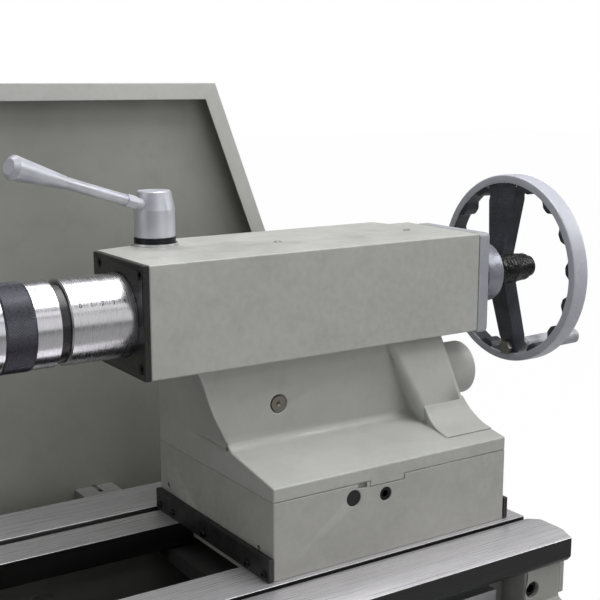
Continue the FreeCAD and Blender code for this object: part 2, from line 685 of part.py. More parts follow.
def end_cover():
    x0 = housing_length - cover_thick
    cover = block(x0, housing_length, housing_front - 0.4, housing_back + 2, axis_z + housing_bottom - 2.5,
                  axis_z + housing_top + 0.4)
    cover = cover.makeFillet(4.5, [edge for edge in cover.Edges if edge.BoundBox.XMax - x0 > 1])
    cover = cover.cut(rod_x(journal_radius + 0.6, x0 - 1, housing_length + 1))
    cover = cover.cut(rod_x(bearing_outer + fit_gap, x0 - 1, housing_length - 4))
    for y, z in cover_screw_places():
        cover = cover.cut(rod_x(3.2, x0 - 1, housing_length + 1, y, z))
        cover = cover.cut(rod_x(5.2, housing_length - 5.5, housing_length + 1, y, z))
    return cover


def end_cover_screws():
    seat = housing_length - 5.5
    return [cap_screw(5.0, 5.0, 2.95, 24, V(seat, y, z), V(1, 0, 0)) for y, z in cover_screw_places()]


def oilers():
    """Ball oilers: a brass cup pressed in the top, with a ball closing its mouth."""
    cups = []
    top = axis_z + housing_top
    for x in oiler_x:
        cup = rod_z(oiler_radius, top - 6, top + 0.8, x, oiler_y).cut(rod_z(1.9, top - 7, top + 1, x, oiler_y))
        cups.append(cup.fuse(Part.makeSphere(2.0, V(x, oiler_y, top - 1))))
    return cups


def guide_key():
    return block(*key_box(0))


def bearing(x0, outer=bearing_outer, inner=journal_radius + 0.02, width=bearing_width):
    return ring_x(outer, inner, x0, x0 + width)


bearing_places = (housing_length - 4 - bearing_width - 0.3, housing_length - 4 - 2 * bearing_width - 6.5)


def thrust_bearings():
    """Two bearings either side of the feed screw's collar."""
    return [bearing(x0) for x0 in bearing_places]


def bearing_cover():
    x1 = housing_length + bearing_cover_length
    cover = turned_x([(housing_length, bearing_cover_radius), (x1 - 4, bearing_cover_radius),
                      (x1 - 4, bearing_cover_radius - 1.5), (x1 - 2, bearing_cover_radius - 1.5),
                      (x1 - 2, bearing_cover_radius), (x1, bearing_cover_radius)])
    return cover.cut(rod_x(journal_radius + 0.6, housing_length - 1, x1 + 1))


# ---- quill and what it carries ----
quill_x0, quill_x1 = -quill_out, -quill_out + quill_length


def quill():
    body = rod_x(quill_radius, quill_x0, quill_x1)
    body = body.makeChamfer(1.2, [edge for edge in body.Edges if edge.BoundBox.XLength < 0.1])
    taper = turned_x([(quill_x0 - 1, taper_radius + taper_slope), (quill_x0 + taper_length + 12,
                     taper_radius - taper_slope * (taper_length + 12))])
    body = body.cut(taper).cut(rod_x(screw_radius + 1.5, quill_x0 + taper_length + 5, quill_x1 + 1))
    body = body.cut(rod_x(nut_radius - 8, quill_x1 - nut_length, quill_x1 + 1))
    slot = block(key_x[0] - quill_retract - 6, quill_x1 - 24, -key_width / 2 - fit_gap, key_width / 2 + fit_gap,
                 under_key - 1, under_key + key_depth)
    body = body.cut(slot)
    for y, z in nut_screw_places():
        body = body.cut(rod_x(2.0, quill_x1 - 16, quill_x1 + 1, y, z))
    return body


def nut_screw_places():
    return [(27.0 * math.cos(math.radians(angle)), axis_z + 27.0 * math.sin(math.radians(angle)))
            for angle in (30, 150, 270)]


def quill_nut():
    """Bronze nut let into the back of the quill, with a flange for its screws."""
    nut = rod_x(nut_radius - 8, quill_x1 - nut_length, quill_x1).fuse(rod_x(nut_radius, quill_x1, quill_x1 + 6))
    nut = nut.cut(rod_x(screw_radius + fit_gap, quill_x1 - nut_length - 1, quill_x1 + 7))
    for y, z in nut_screw_places():
        nut = nut.cut(rod_x(2.2, quill_x1 - 1, quill_x1 + 7, y, z))
    return nut


def nut_screws():
    return [cap_screw(3.5, 3.0, 1.95, 20, V(quill_x1 + 6, y, z), V(1, 0, 0)) for y, z in nut_screw_places()]


ring_x1 = quill_x0 - neck_ring_length
knurl_x1 = ring_x1 - centre_ring_length
knurl_x0 = knurl_x1 - knurl_length
spin_x1 = knurl_x0 - clear
cone_x0 = spin_x1 - spin_cone_length
point_x0 = cone_x0 - point_length


def centre_arbor():
    """Taper shank and the still outer body of the live centre."""
    taper = turned_x([(quill_x0, taper_radius), (quill_x0 + taper_length, taper_radius - taper_slope * taper_length)])
    neck = rod_x(neck_ring_radius - 12, ring_x1 - 0.5, quill_x0 + 0.0)
    shell = rod_x(quill_radius, knurl_x1, ring_x1)
    seat = rod_x(quill_radius - 6, knurl_x0, knurl_x1 + 0.5)
    body = fused([taper, neck, shell, seat])
    return body.cut(rod_x(bearing_bore + 8, knurl_x0 - 1, ring_x1 - 6))


bearing_bore = 12.0
centre_bearing_width = 11.0


def centre_bearings():
    places = (knurl_x0 + 3, knurl_x0 + 6 + centre_bearing_width)
    return [bearing(x0, bearing_bore + 8, bearing_bore + 0.02, centre_bearing_width) for x0 in places]


def seal_ring():
    return ring_x(neck_ring_radius, neck_ring_radius - 12, ring_x1, quill_x0)


def knurled_ring():
    outer = quill_radius + knurl_proud
    ring = turned_x([(knurl_x0, outer - 1.2), (knurl_x0 + 1.2, outer), (knurl_x1 - 1.2, outer), (knurl_x1, outer - 1.2)])
    return ring.cut(rod_x(quill_radius - 6, knurl_x0 - 1, knurl_x1 + 1))


def centre_point():
    """Turning nose of the live centre: a plain body that tapers to a 60 degree point."""
    nose = turned_x([(point_x0, 0.4), (point_x0 + point_length * 0.97, spin_radius_small - 1), (cone_x0, spin_radius_small),
                     (cone_x0 + 12, quill_radius - 0.5), (spin_x1, quill_radius - 0.5)])
    spindle = rod_x(bearing_bore, spin_x1 - 1, ring_x1 - 7)
    return nose.fuse(spindle).removeSplitter()


# ---- feed screw, dial and handwheel, which turn together ----
collar_gap = 0.3
collar_x0 = bearing_places[1] + bearing_width + collar_gap
collar_x1 = bearing_places[0] - collar_gap
dial_x0 = housing_length + bearing_cover_length + clear
nut_x0 = hub_end


def feed_screw():
    body = rod_x(screw_radius, screw_tip, bearing_places[1] - 6)
    count = int((bearing_places[1] - 36 - screw_tip) / screw_lead)
    grooves = [ring_x(screw_radius + 1, screw_radius - 2, screw_tip + (index + 0.5) * screw_lead,
                      screw_tip + (index + 1) * screw_lead) for index in range(count)]
    body = body.cut(Part.makeCompound(grooves))
    journal = rod_x(journal_radius, bearing_places[1] - 7, hub_end)
    collar = rod_x(journal_radius + 6, collar_x0, collar_x1)
    stub = rod_x(6.0, hub_end - 1, hub_end - 0.5)
    body = fused([body, journal, collar, stub])
    return body.cut(block(*wheel_key_box(0)))


def wheel_key_box(gap):
    return (hub_front + 12, hub_end - 22, -2.5 - gap, 2.5 + gap,
            axis_z + journal_radius - 3, axis_z + journal_radius + 1.8 + gap)


def wheel_key():
    return block(*wheel_key_box(0))


def dial_collar():
    """Graduated collar on the screw, between the bearing cover and the wheel."""
    x1 = hub_front
    ring = turned_x([(dial_x0, dial_radius - 1), (dial_x0 + 1, dial_radius), (x1 - 4, dial_radius),
                     (x1, dial_radius - 4)])
    return ring.cut(rod_x(journal_radius + 0.02, dial_x0 - 1, x1 + 1))


def handwheel():
    x0, x1 = wheel_front, wheel_front + rim_depth
    rim = ring_x(wheel_radius, wheel_radius - rim_width, x0, x1)
    rim = rim.makeFillet(2.0, [edge for edge in rim.Edges
                               if edge.BoundBox.XLength < 0.1 and edge.BoundBox.YLength > 2 * wheel_radius - 1])
    shapes = [rim]
    inner = wheel_radius - rim_width
    bump_radius = 9.0
    for index in range(grip_bumps):
        angle = 2 * math.pi * (index + 0.5) / grip_bumps
        reach = inner + bump_radius - bump_height
        bump = rod_x(bump_radius, x0 + 5, x1 - 2, reach * math.sin(angle), axis_z + reach * math.cos(angle))
        shapes.append(bump.common(rod_x(wheel_radius - 3, x0, x1)))
    hub = turned_x([(hub_front, hub_radius + 4), (wheel_front + 6, hub_radius + 4), (wheel_front + 16, hub_radius),
                    (hub_end - 3, hub_radius - 1), (hub_end, hub_radius - 4)])
    shapes.append(hub)
    shapes.append(spoke(*upper_spoke, 1))
    shapes.append(spoke(*lower_spoke, -1))
    wheel = fused(shapes)
    wheel.rotate(V(0, 0, axis_z), V(1, 0, 0), -wheel_angle)
    wheel = wheel.cut(rod_x(journal_radius + 0.02, hub_front - 1, hub_end + 1))
    wheel = wheel.cut(block(*wheel_key_box(0)))
    return wheel.cut(rod_x(crank_pin_radius, x0 - 1, x1 + 1, crank_y, crank_z))


def spoke(near, far, up):
    """A flat tapered spoke from the hub to the rim, dished towards the rim."""
    z_in = axis_z + up * (hub_radius - 4)
    z_out = axis_z + up * (wheel_radius - 4)
    x_in, x_out = wheel_front - 14, wheel_front + 4
    inner = [V(x_in, -near / 2, z_in), V(x_in, near / 2, z_in), V(x_in + spoke_thick, near / 2, z_in),
             V(x_in + spoke_thick, -near / 2, z_in)]
    outer = [V(x_out, -far / 2, z_out), V(x_out, far / 2, z_out), V(x_out + spoke_thick, far / 2, z_out),
             V(x_out + spoke_thick, -far / 2, z_out)]
    return Part.makeLoft([Part.makePolygon(inner + inner[:1]), Part.makePolygon(outer + outer[:1])], True, True)


def wheel_nut():
    """Cap nut on the end of the feed screw that holds the wheel."""
    return turned_x([(hub_end, 11.5), (hub_end + 5, 11.5), (hub_end + 8, 8.0)])


crank_x0 = wheel_front + rim_depth
crank_y = -crank_drop * math.sin(math.radians(wheel_angle))
crank_z = axis_z - crank_drop * math.cos(math.radians(wheel_angle))


def crank_shank():
    """Pin riveted through the rim, with a hexagon nut on the face side and a head beyond the grip."""
    pin = rod_x(crank_pin_radius, wheel_front - 4, crank_end - 4, crank_y, crank_z)
    nut = Part.Face(Part.makePolygon([V(wheel_front - 6, crank_y + 8.0 * math.cos(math.radians(60 * step)),
                                        crank_z + 8.0 * math.sin(math.radians(60 * step))) for step in range(7)]))
    washer = rod_x(7.6, crank_x0, crank_x0 + 2.5, crank_y, crank_z)
    head = rod_x(6.4, crank_end - 7, crank_end - 4, crank_y, crank_z)
    return fused([pin, nut.extrude(V(6, 0, 0)), washer, head])


def crank_grip():
    x0 = crank_x0 + 2.5 + clear
    body = turned_x([(x0, crank_radius - 1), (x0 + 2, crank_radius), (x0 + 30, crank_radius + 0.8),
                     (crank_end - 3, crank_radius), (crank_end, crank_radius - 2.5)], crank_y, crank_z)
    body = body.cut(rod_x(crank_pin_radius + fit_gap, x0 - 1, crank_end - 7, crank_y, crank_z))
    return body.cut(rod_x(6.4 + 0.3, crank_end - 7.3, crank_end + 1, crank_y, crank_z))


# ---- quill lock: a lever screws a stud that pulls two shoes on to the quill ----
lock_top = axis_z + housing_top
lever_direction = FreeCAD.Rotation(V(0, 0, 1), lever_turn).multVec(
    V(-math.cos(math.radians(lever_rise)), 0, math.sin(math.radians(lever_rise))))
lever_origin = V(lock_x, lock_y, lock_top + lever_start_height)


def seat_ring():
    return rod_z(seat_ring_radius, lock_top - 4, lock_top + seat_ring_height, lock_x, lock_y).cut(
        rod_z(stud_radius + 0.6, lock_top - 5, lock_top + 5, lock_x, lock_y))


def lock_collar():
    low = lock_top + seat_ring_height + slide_gap
    return rod_z(collar_radius, low, low + collar_height, lock_x, lock_y).cut(
        rod_z(stud_radius, low - 1, low + collar_height + 1, lock_x, lock_y))


def lever_hub():
    low = lock_top + seat_ring_height + slide_gap + collar_height
    hub = turned_z([(low, hub_lever_radius - 1), (low + 1, hub_lever_radius), (lock_top + lever_hub_side, hub_lever_radius),
                    (lock_top + lever_hub_top - 1, lever_hub_top_radius), (lock_top + lever_hub_top, lever_hub_top_radius - 1)],
                   lock_x, lock_y)
    hub = hub.cut(rod(lever_rod_radius, 60, lever_origin, lever_direction))
    return hub.cut(rod_z(stud_radius, low - 1, lock_top + 22, lock_x, lock_y))


def lever_rod():
    bar = rod(lever_rod_radius, lever_grip_start + 8, lever_origin, lever_direction)
    side = lever_direction.cross(V(0, 0, 1)).normalize()
    hexagon = [lever_origin + lever_direction * hex_start +
               FreeCAD.Rotation(lever_direction, 60 * step).multVec(side) * hex_radius for step in range(7)]
    flats = Part.Face(Part.makePolygon(hexagon)).extrude(lever_direction * (hex_end - hex_start))
    return bar.fuse(flats).removeSplitter()


def lever_grip():
    """Tapered steel handle, wider at its free end, with a rounded end."""
    length = lever_grip_end - lever_grip_start
    start = lever_origin + lever_direction * lever_grip_start
    cone = Part.makeCone(grip_small_radius, grip_large_radius, length - 4, start, lever_direction)
    cap = Part.makeCone(grip_large_radius, grip_large_radius - 4, 4, start + lever_direction * (length - 4), lever_direction)
    return cone.fuse(cap).cut(rod(lever_rod_radius, 8, start, lever_direction)).removeSplitter()


def lock_stud():
    """Stud screwed down by the lever; its head pulls up the lower shoe."""
    low = axis_z - lock_reach
    stem = rod_z(stud_radius, low - 2, lock_top + 22, lock_x, lock_y)
    return stem.fuse(rod_z(stud_radius + 4.5, low - 8, low - shoe_gap, lock_x, lock_y)).removeSplitter()


def shoe_block(gap, z0, z1):
    """Round pad about the stud with an arm reaching the side of the quill."""
    pad = rod_z(shoe_radius + gap, z0, z1, lock_x, lock_y)
    arm = block(lock_x - shoe_arm / 2 - gap, lock_x + shoe_arm / 2 + gap, 22.0, lock_y, z0, z1)
    return pad.fuse(arm)


def lock_shoe(side):
    """Upper or lower shoe, hollowed to the quill, with a parting gap at the axis."""
    low, high = sorted((side * 4.0, side * lock_reach))
    block_shape = shoe_block(0, axis_z + low, axis_z + high)
    block_shape = block_shape.cut(rod_x(quill_radius + shoe_gap, lock_x - 40, lock_x + 40))
    return block_shape.cut(rod_z(stud_radius + 0.5, axis_z - 60, axis_z + 60, lock_x, lock_y))


# ---- bed clamp: an eccentric shaft lifts a draw bolt that grips the bed from below ----
shaft_z = axis_z - clamp_drop


def eccentric_shaft():
    y0 = eccentric_y - eccentric_width / 2
    shaft = rod_y(shaft_radius, neck_front + 0.8, shaft_rear, clamp_x, shaft_z)
    cam = rod_y(eccentric_radius, y0, y0 + eccentric_width, clamp_x + eccentric_throw, shaft_z)
    dimple = Part.makeCone(2.4, 0.2, 2.4, V(clamp_x, neck_front + 0.8, shaft_z), V(0, 1, 0))
    sleeve = rod_y(eccentric_radius + eccentric_throw + 0.9, y0 + eccentric_width + 4, neck_back - 2, clamp_x, shaft_z)
    return shaft.fuse(cam).fuse(sleeve).cut(dimple).removeSplitter()


lever_lean = 12.0


def clamp_lever():
    """Boss and arm on the rear end of the shaft, lying along the back of the housing."""
    lean = math.radians(lever_lean)
    arm_dir = V(math.cos(lean), 0, math.sin(lean))
    y0, y1 = neck_back + 8, shaft_rear
    boss = rod_y(16.0, y0, y1, clamp_x, shaft_z)
    mid = V(clamp_x, (y0 + y1) / 2, shaft_z)
    arm = rod(7.0, clamp_lever_length, mid, arm_dir)
    return fused([boss, arm]).cut(rod_y(shaft_radius, y0 - 1, y1 + 1, clamp_x, shaft_z))


def clamp_knob():
    lean = math.radians(lever_lean)
    arm_dir = V(math.cos(lean), 0, math.sin(lean))
    mid = V(clamp_x, (neck_back + 8 + shaft_rear) / 2, shaft_z)
    end = mid + arm_dir * (clamp_lever_length + clamp_knob_radius * 0.7)
    ball = Part.makeSphere(clamp_knob_radius, end)
    return ball.cut(rod(7.0, clamp_lever_length, mid, arm_dir))


plate_top = way_z - way_depth - clamp_rest_gap


def draw_bolt():
    """Strap round the eccentric with a stem down to the clamp plate."""
    y0 = eccentric_y - eccentric_width / 2 + 1
    eye = rod_y(strap_outer, y0, y0 + eccentric_width - 2, clamp_x, shaft_z)
    eye = eye.cut(rod_y(eccentric_radius + strap_gap, y0 - 1, y0 + eccentric_width, clamp_x + eccentric_throw, shaft_z))
    stem = rod_z(draw_radius, plate_top - clamp_plate_thick - 14.5, shaft_z - eccentric_radius - strap_gap - 3, clamp_x, eccentric_y)
    return eye.fuse(stem).removeSplitter()


def clamp_plate():
    x0, x1 = clamp_x - clamp_plate_length / 2, clamp_x + clamp_plate_length / 2
    outline = [(-clamp_plate_half, plate_top), (-clamp_plate_half, plate_top - 12), (-40, plate_top - clamp_plate_thick),
               (40, plate_top - clamp_plate_thick), (clamp_plate_half, plate_top - 12), (clamp_plate_half, plate_top)]
    plate = slab(outline, x0, V(x1 - x0, 0, 0))
    return plate.cut(rod_z(draw_radius, plate_top - 40, plate_top + 1, clamp_x, eccentric_y))


def clamp_nut():
    low = plate_top - clamp_plate_thick - clamp_nut_height
    corners = [V(clamp_x + 16 * math.cos(math.radians(60 * step)), eccentric_y + 16 * math.sin(math.radians(60 * step)), low)
               for step in range(7)]
    nut = Part.Face(Part.makePolygon(corners)).extrude(V(0, 0, clamp_nut_height))
    return nut.cut(rod_z(draw_radius, low - 1, low + clamp_nut_height + 1, clamp_x, eccentric_y))


# ---- write one file for each piece ----
save("bed_casting", bed_casting())
save("rack", rack())
save("rack_screws", rack_screws())
save("rod_end_bracket", rod_end_bracket())
save("bracket_screws", bracket_screws())
for rod_name in rod_places:
    save(rod_name, rod_end(rod_name))
save("bed_end_cover", bed_end_cover())
save("bed_cover_screws", bed_cover_screws())
save("splash_guard", splash_guard())
save("guard_brackets", guard_brackets())
save("guard_screws", guard_screws())
save("base_casting", base_casting())
save("left_wiper", way_wiper("left"))
save("right_wiper", way_wiper("right"))
save("wiper_screws", wiper_screws())
save("base_plug", base_plug())
save("cross_key", cross_key())
save("key_screw", key_screw())
save("front_set_screw", set_over_screw(-1))
save("rear_set_screw", set_over_screw(1))
save("body_casting", body_casting())
save("end_plate", end_plate())
save("end_plate_screws", end_plate_screws())
save("end_cover", end_cover())
save("end_cover_screws", end_cover_screws())
save("oilers", oilers())
save("guide_key", guide_key())
save("thrust_bearings", thrust_bearings())
save("bearing_cover", bearing_cover())
save("seat_ring", seat_ring())
save("quill", quill())
save("quill_nut", quill_nut())
save("nut_screws", nut_screws())
save("centre_arbor", centre_arbor())
save("centre_bearings", centre_bearings())
save("seal_ring", seal_ring())
save("knurled_ring", knurled_ring())
save("centre_point", centre_point())
save("feed_screw", feed_screw())
save("dial_collar", dial_collar())
save("handwheel", handwheel())
save("wheel_key", wheel_key())
save("wheel_nut", wheel_nut())
save("crank_shank", crank_shank())
save("crank_grip", crank_grip())
save("lock_collar", lock_collar())
save("lever_hub", lever_hub())
save("lever_rod", lever_rod())
save("lever_grip", lever_grip())
save("lock_stud", lock_stud())
save("upper_shoe", lock_shoe(1))
save("lower_shoe", lock_shoe(-1))
save("eccentric_shaft", eccentric_shaft())
save("clamp_lever", clamp_lever())
save("clamp_knob", clamp_knob())
save("draw_bolt", draw_bolt())
save("clamp_plate", clamp_plate())
save("clamp_nut", clamp_nut())
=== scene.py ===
import math
from functools import partial

import bmesh
import bpy
from mathutils import Matrix, Vector, noise


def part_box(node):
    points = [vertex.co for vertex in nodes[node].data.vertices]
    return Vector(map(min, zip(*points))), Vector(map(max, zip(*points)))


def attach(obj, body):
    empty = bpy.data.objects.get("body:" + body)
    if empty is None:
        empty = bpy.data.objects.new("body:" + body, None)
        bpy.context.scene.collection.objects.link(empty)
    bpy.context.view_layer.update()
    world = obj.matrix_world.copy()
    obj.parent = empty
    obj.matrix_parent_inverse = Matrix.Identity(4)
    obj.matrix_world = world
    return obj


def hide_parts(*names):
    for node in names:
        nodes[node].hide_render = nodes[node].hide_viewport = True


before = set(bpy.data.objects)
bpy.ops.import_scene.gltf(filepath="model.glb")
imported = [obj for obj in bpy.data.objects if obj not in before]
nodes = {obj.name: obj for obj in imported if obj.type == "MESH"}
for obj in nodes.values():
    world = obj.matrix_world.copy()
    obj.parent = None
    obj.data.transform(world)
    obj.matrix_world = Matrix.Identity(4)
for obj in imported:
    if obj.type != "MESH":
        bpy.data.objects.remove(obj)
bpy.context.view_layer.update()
scene = bpy.context.scene


# ---- Bed casting ----
# One grey-iron casting: two walls tied by ribs under flat ways, painted all over and then ground.
# The ground tops stay bare and bright, and the upright sides of the ways are given a near-black colour,
# which is painted shade.
bed_edge = 0.0011
bed_colour = (0.24, 0.245, 0.235)
ground_colour = (0.64, 0.63, 0.65)
way_side_shade_colour = (0.05, 0.052, 0.05)
way_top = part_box("base_casting")[0].z + 0.018
paint_depth, level_enough = 0.0255, 0.2
weld = 0.000002


def add(tree, kind, inputs=None, **settings):
    """Adds a node to a tree; an input given as a socket is linked, any other value is set."""
    made = tree.nodes.new(kind)
    for key, value in settings.items():
        setattr(made, key, value)
    for key, value in (inputs or {}).items():
        if isinstance(value, bpy.types.NodeSocket):
            tree.links.new(value, made.inputs[key])
        else:
            made.inputs[key].default_value = value
    return made


def put(tree, kind, inputs=None, **settings):
    """Adds a node to a tree and gives its first output."""
    return add(tree, kind, inputs, **settings).outputs[0]


def bare_finish(name, metallic, roughness):
    """A new material, its node tree and its shader, with constant values on the shader itself."""
    made = bpy.data.materials.new(name)
    made.use_nodes = True
    shader = made.node_tree.nodes["Principled BSDF"]
    shader.inputs["Metallic"].default_value = metallic
    shader.inputs["Roughness"].default_value = roughness
    return made, made.node_tree, shader


def mapped(tree, value, low, high, first=0.0, last=1.0, **settings):
    """A value moved from one range to another, and kept inside it."""
    return put(tree, "ShaderNodeMapRange", {"Value": value, "From Min": low, "From Max": high,
                                            "To Min": first, "To Max": last}, **settings)


def patches(tree, low, high, scale, stretch=(1, 1, 1), detail=3.0, edges=(0.36, 0.64)):
    """Uneven patches between two values over the piece; stretch draws them out along an axis."""
    place = add(tree, "ShaderNodeTexCoord").outputs["Object"]
    drawn = put(tree, "ShaderNodeMapping", {"Vector": place, "Scale": stretch})
    cloud = add(tree, "ShaderNodeTexNoise", {"Vector": drawn, "Scale": scale, "Detail": detail})
    return mapped(tree, cloud.outputs[0], edges[0], edges[1], low, high)


def mixed(tree, share, first, second):
    """A colour between two others."""
    return add(tree, "ShaderNodeMix", {0: share, 6: first, 7: second}, data_type="RGBA").outputs[2]


def toned(colour, factor):
    """A colour made darker or lighter."""
    return tuple(min(1.0, part * factor) for part in colour) + (1.0,)


def relief(tree, shader, layers):
    """Raises the surface by layers of (height, depth in metres), one on another."""
    below = None
    for height, depth in layers:
        inputs = {"Height": height, "Strength": 1.0, "Distance": depth}
        if below is not None:
            inputs["Normal"] = below
        below = put(tree, "ShaderNodeBump", inputs)
    tree.links.new(below, shader.inputs["Normal"])


def rubbed_edges(tree, most):
    """1 on the outer edges of a piece, where hands and chips rub it, and 0 on its flats."""
    edge = add(tree, "ShaderNodeNewGeometry").outputs["Pointiness"]
    sharp = mapped(tree, edge, 0.515, 0.58, last=most)
    broken = patches(tree, 0.2, 1.0, 160.0)
    return put(tree, "ShaderNodeMath", {0: sharp, 1: broken}, operation="MULTIPLY")


def enamel(name, colour, roughness, peel=0.00003, lumps=0.00025, worn=0.35):
    """Sprayed machine enamel over filled iron: faint orange peel, uneven gloss, edges rubbed pale."""
    made, tree, shader = bare_finish(name, 0.0, roughness)
    broad = patches(tree, 0.0, 1.0, 6.0)
    tone = mixed(tree, broad, toned(colour, 0.93), toned(colour, 1.06))
    grime = patches(tree, 0.0, 0.22, 45.0, detail=5.0, edges=(0.5, 0.78))
    tone = mixed(tree, grime, tone, toned(colour, 0.62))
    tone = mixed(tree, rubbed_edges(tree, worn), tone, toned(colour, 1.45))
    tree.links.new(tone, shader.inputs["Base Color"])
    tree.links.new(patches(tree, roughness - 0.06, roughness + 0.1, 26.0), shader.inputs["Roughness"])
    relief(tree, shader, [(patches(tree, 0.0, 1.0, 34.0, detail=2.0), lumps),
                          (patches(tree, 0.0, 1.0, 620.0, detail=1.0), peel)])
    return made


def machined(name, colour, roughness, lay, marks=0.000004, fine=2600.0, spots=0.12, metallic=1.0):
    """Bare steel with tool marks; lay is small along the axes that the marks run on."""
    made, tree, shader = bare_finish(name, metallic, roughness)
    streaks = patches(tree, 0.0, 1.0, fine, stretch=lay, detail=4.0)
    stains = patches(tree, 0.0, spots, 30.0, detail=5.0, edges=(0.52, 0.75))
    tone = mixed(tree, streaks, toned(colour, 0.9), toned(colour, 1.05))
    tree.links.new(mixed(tree, stains, tone, toned(colour, 0.45)), shader.inputs["Base Color"])
    tree.links.new(patches(tree, roughness - 0.05, roughness + 0.07, fine * 0.6, stretch=lay),
                   shader.inputs["Roughness"])
    relief(tree, shader, [(streaks, marks)])
    return made


def in_scene(name, data):
    """A new object at the origin, put in the scene."""
    piece = bpy.data.objects.new(name, data)
    scene.collection.objects.link(piece)
    return piece


def opened(*meshes):
    """One editable shape from one mesh or more."""
    shape = bmesh.new()
    for mesh in meshes:
        shape.from_mesh(mesh)
    return shape


def stored(shape, mesh):
    """Writes an editable shape to a mesh and frees it."""
    shape.to_mesh(mesh)
    shape.free()
    return mesh


def smoothed(mesh, steepest):
    """Shades a mesh smooth, all but the edges steeper than an angle in degrees."""
    mesh.polygons.foreach_set("use_smooth", [True] * len(mesh.polygons))
    mesh.set_sharp_from_angle(angle=math.radians(steepest))


def softened(node, name, edge, segments=2, steepest=32.0, flat_within=0.3):
    """A copy of a CAD node with its facets merged back into faces and its sharp edges rounded."""
    shape = opened(nodes[node].data)
    bmesh.ops.remove_doubles(shape, verts=shape.verts, dist=weld)
    bmesh.ops.dissolve_limit(shape, angle_limit=math.radians(flat_within), verts=shape.verts,
                             edges=shape.edges)
    mesh = stored(shape, bpy.data.meshes.new(name))
    smoothed(mesh, steepest)
    piece = in_scene(name, mesh)
    rounding = piece.modifiers.new("rounding", "BEVEL")
    rounding.width, rounding.segments = edge, segments
    rounding.limit_method, rounding.angle_limit = "ANGLE", math.radians(steepest)
    rounding.use_clamp_overlap, rounding.harden_normals = False, True
    return piece


def finished(piece, *finishes, choose=None):
    """Gives a piece its finishes; choose says which one each face takes from its centre and normal."""
    piece.data.materials.clear()
    for finish in finishes:
        piece.data.materials.append(finish)
    for face in piece.data.polygons:
        face.material_index = choose(face.center, face.normal) if choose else 0


bed_paint = enamel("bed_paint", bed_colour, 0.5, lumps=0.0005)
way_steel = machined("ground_ways", ground_colour, 0.3, (0.01, 1, 1), fine=1500.0, metallic=0.55)
# The upright sides of the ways take a near-black colour: painted shade.
way_side = machined("oiled_way_sides", way_side_shade_colour, 0.42, (0.01, 1, 1), fine=900.0)


def bed_face(centre, normal):
    """Paint below the ways, ground steel on their tops and near-black painted shade on their sides."""
    if centre.z < way_top - paint_depth:
        return 0
    return 1 if normal.z > level_enough else 2


bed = softened("bed_casting", "bed", bed_edge)
finished(bed, bed_paint, way_steel, way_side, choose=bed_face)
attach(bed, "bed")
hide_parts("bed_casting")


# ---- Rack ----
# A straight steel bar with its teeth cut downwards, screwed along the front wall under the way.
# The carriage pinion, which isn't here, runs on it, so its teeth are bright and oily.
rack_steel = machined("rack_steel", (0.42, 0.42, 0.43), 0.38, (1, 1, 0.02), fine=1200.0, spots=0.4)


def coat(finish, *names):
    """Gives CAD nodes that keep their own shape a finish."""
    for name in names:
        finished(nodes[name], finish)


coat(rack_steel, "rack")


# ---- Socket screws of the bed ----
# Cap screws of black-oxide steel, zinc-plated on the guard: a turned head with a rounded rim
# and a broached hexagon. They hold the rack, the bracket, the end cover and the guard, and each
# is turned home to its own angle.
oxide_colour = (0.03, 0.03, 0.034)
screw_seed = 11


def loose_parts(node):
    """Lowest and highest corner of each separate solid in a CAD node."""
    shape = opened(nodes[node].data)
    bmesh.ops.remove_doubles(shape, verts=shape.verts, dist=weld)
    found, seen = [], set()
    for first in shape.verts:
        if first in seen:
            continue
        seen.add(first)
        waiting, corners = [first], []
        while waiting:
            corner = waiting.pop()
            corners.append(corner.co.copy())
            for link in corner.link_edges:
                far = link.other_vert(corner)
                if far not in seen:
                    seen.add(far)
                    waiting.append(far)
        found.append((Vector(map(min, zip(*corners))), Vector(map(max, zip(*corners)))))
    shape.free()
    return found


def calc(operation, tree, *values):
    """One step of arithmetic in a tree."""
    return put(tree, "ShaderNodeMath", dict(enumerate(values)), operation=operation)


plus, minus = partial(calc, "ADD"), partial(calc, "SUBTRACT")
times, over = partial(calc, "MULTIPLY"), partial(calc, "DIVIDE")


def vector_of(tree, x=0.0, y=0.0, z=0.0):
    """A vector from three values."""
    return put(tree, "ShaderNodeCombineXYZ", {0: x, 1: y, 2: z})


def place_of(tree):
    """The x, y and z of each point."""
    point = put(tree, "GeometryNodeInputPosition")
    return add(tree, "ShaderNodeSeparateXYZ", {0: point}).outputs


def new_tree(name, start, numbers, counts=()):
    """An empty Geometry Nodes tree with named inputs: a start, sizes, counts and a finish."""
    tree = bpy.data.node_groups.new(name, "GeometryNodeTree")
    kinds = [(start, "NodeSocketGeometry")] + [(label, "NodeSocketFloat") for label in numbers]
    kinds += [(label, "NodeSocketInt") for label in counts] + [("Finish", "NodeSocketMaterial")]
    for label, kind in kinds:
        tree.interface.new_socket(name=label, in_out="INPUT", socket_type=kind)
    tree.interface.new_socket(name="Result", in_out="OUTPUT", socket_type="NodeSocketGeometry")
    return tree, add(tree, "NodeGroupInput").outputs


def close_tree(tree, shape, given):
    """Ends a tree: its instances are made real and take the finish."""
    real = put(tree, "GeometryNodeRealizeInstances", {"Geometry": shape})
    done = put(tree, "GeometryNodeSetMaterial", {"Geometry": real, "Material": given["Finish"]})
    add(tree, "NodeGroupOutput", {0: done})
    return tree


def grown(name, start, tree, finish, **sizes):
    """Runs a tree on a starting mesh and keeps what it makes as a plain mesh."""
    piece = in_scene(name, start)
    growth = piece.modifiers.new("growth", "NODES")
    growth.node_group = tree
    sizes["Finish"] = finish
    for item in tree.interface.items_tree:
        if item.in_out == "INPUT" and item.name.replace(" ", "_") in sizes:
            growth[item.identifier] = sizes[item.name.replace(" ", "_")]
    graph = bpy.context.evaluated_depsgraph_get()
    made = bpy.data.meshes.new_from_object(piece.evaluated_get(graph))
    piece.modifiers.remove(growth)
    piece.data = made
    return piece


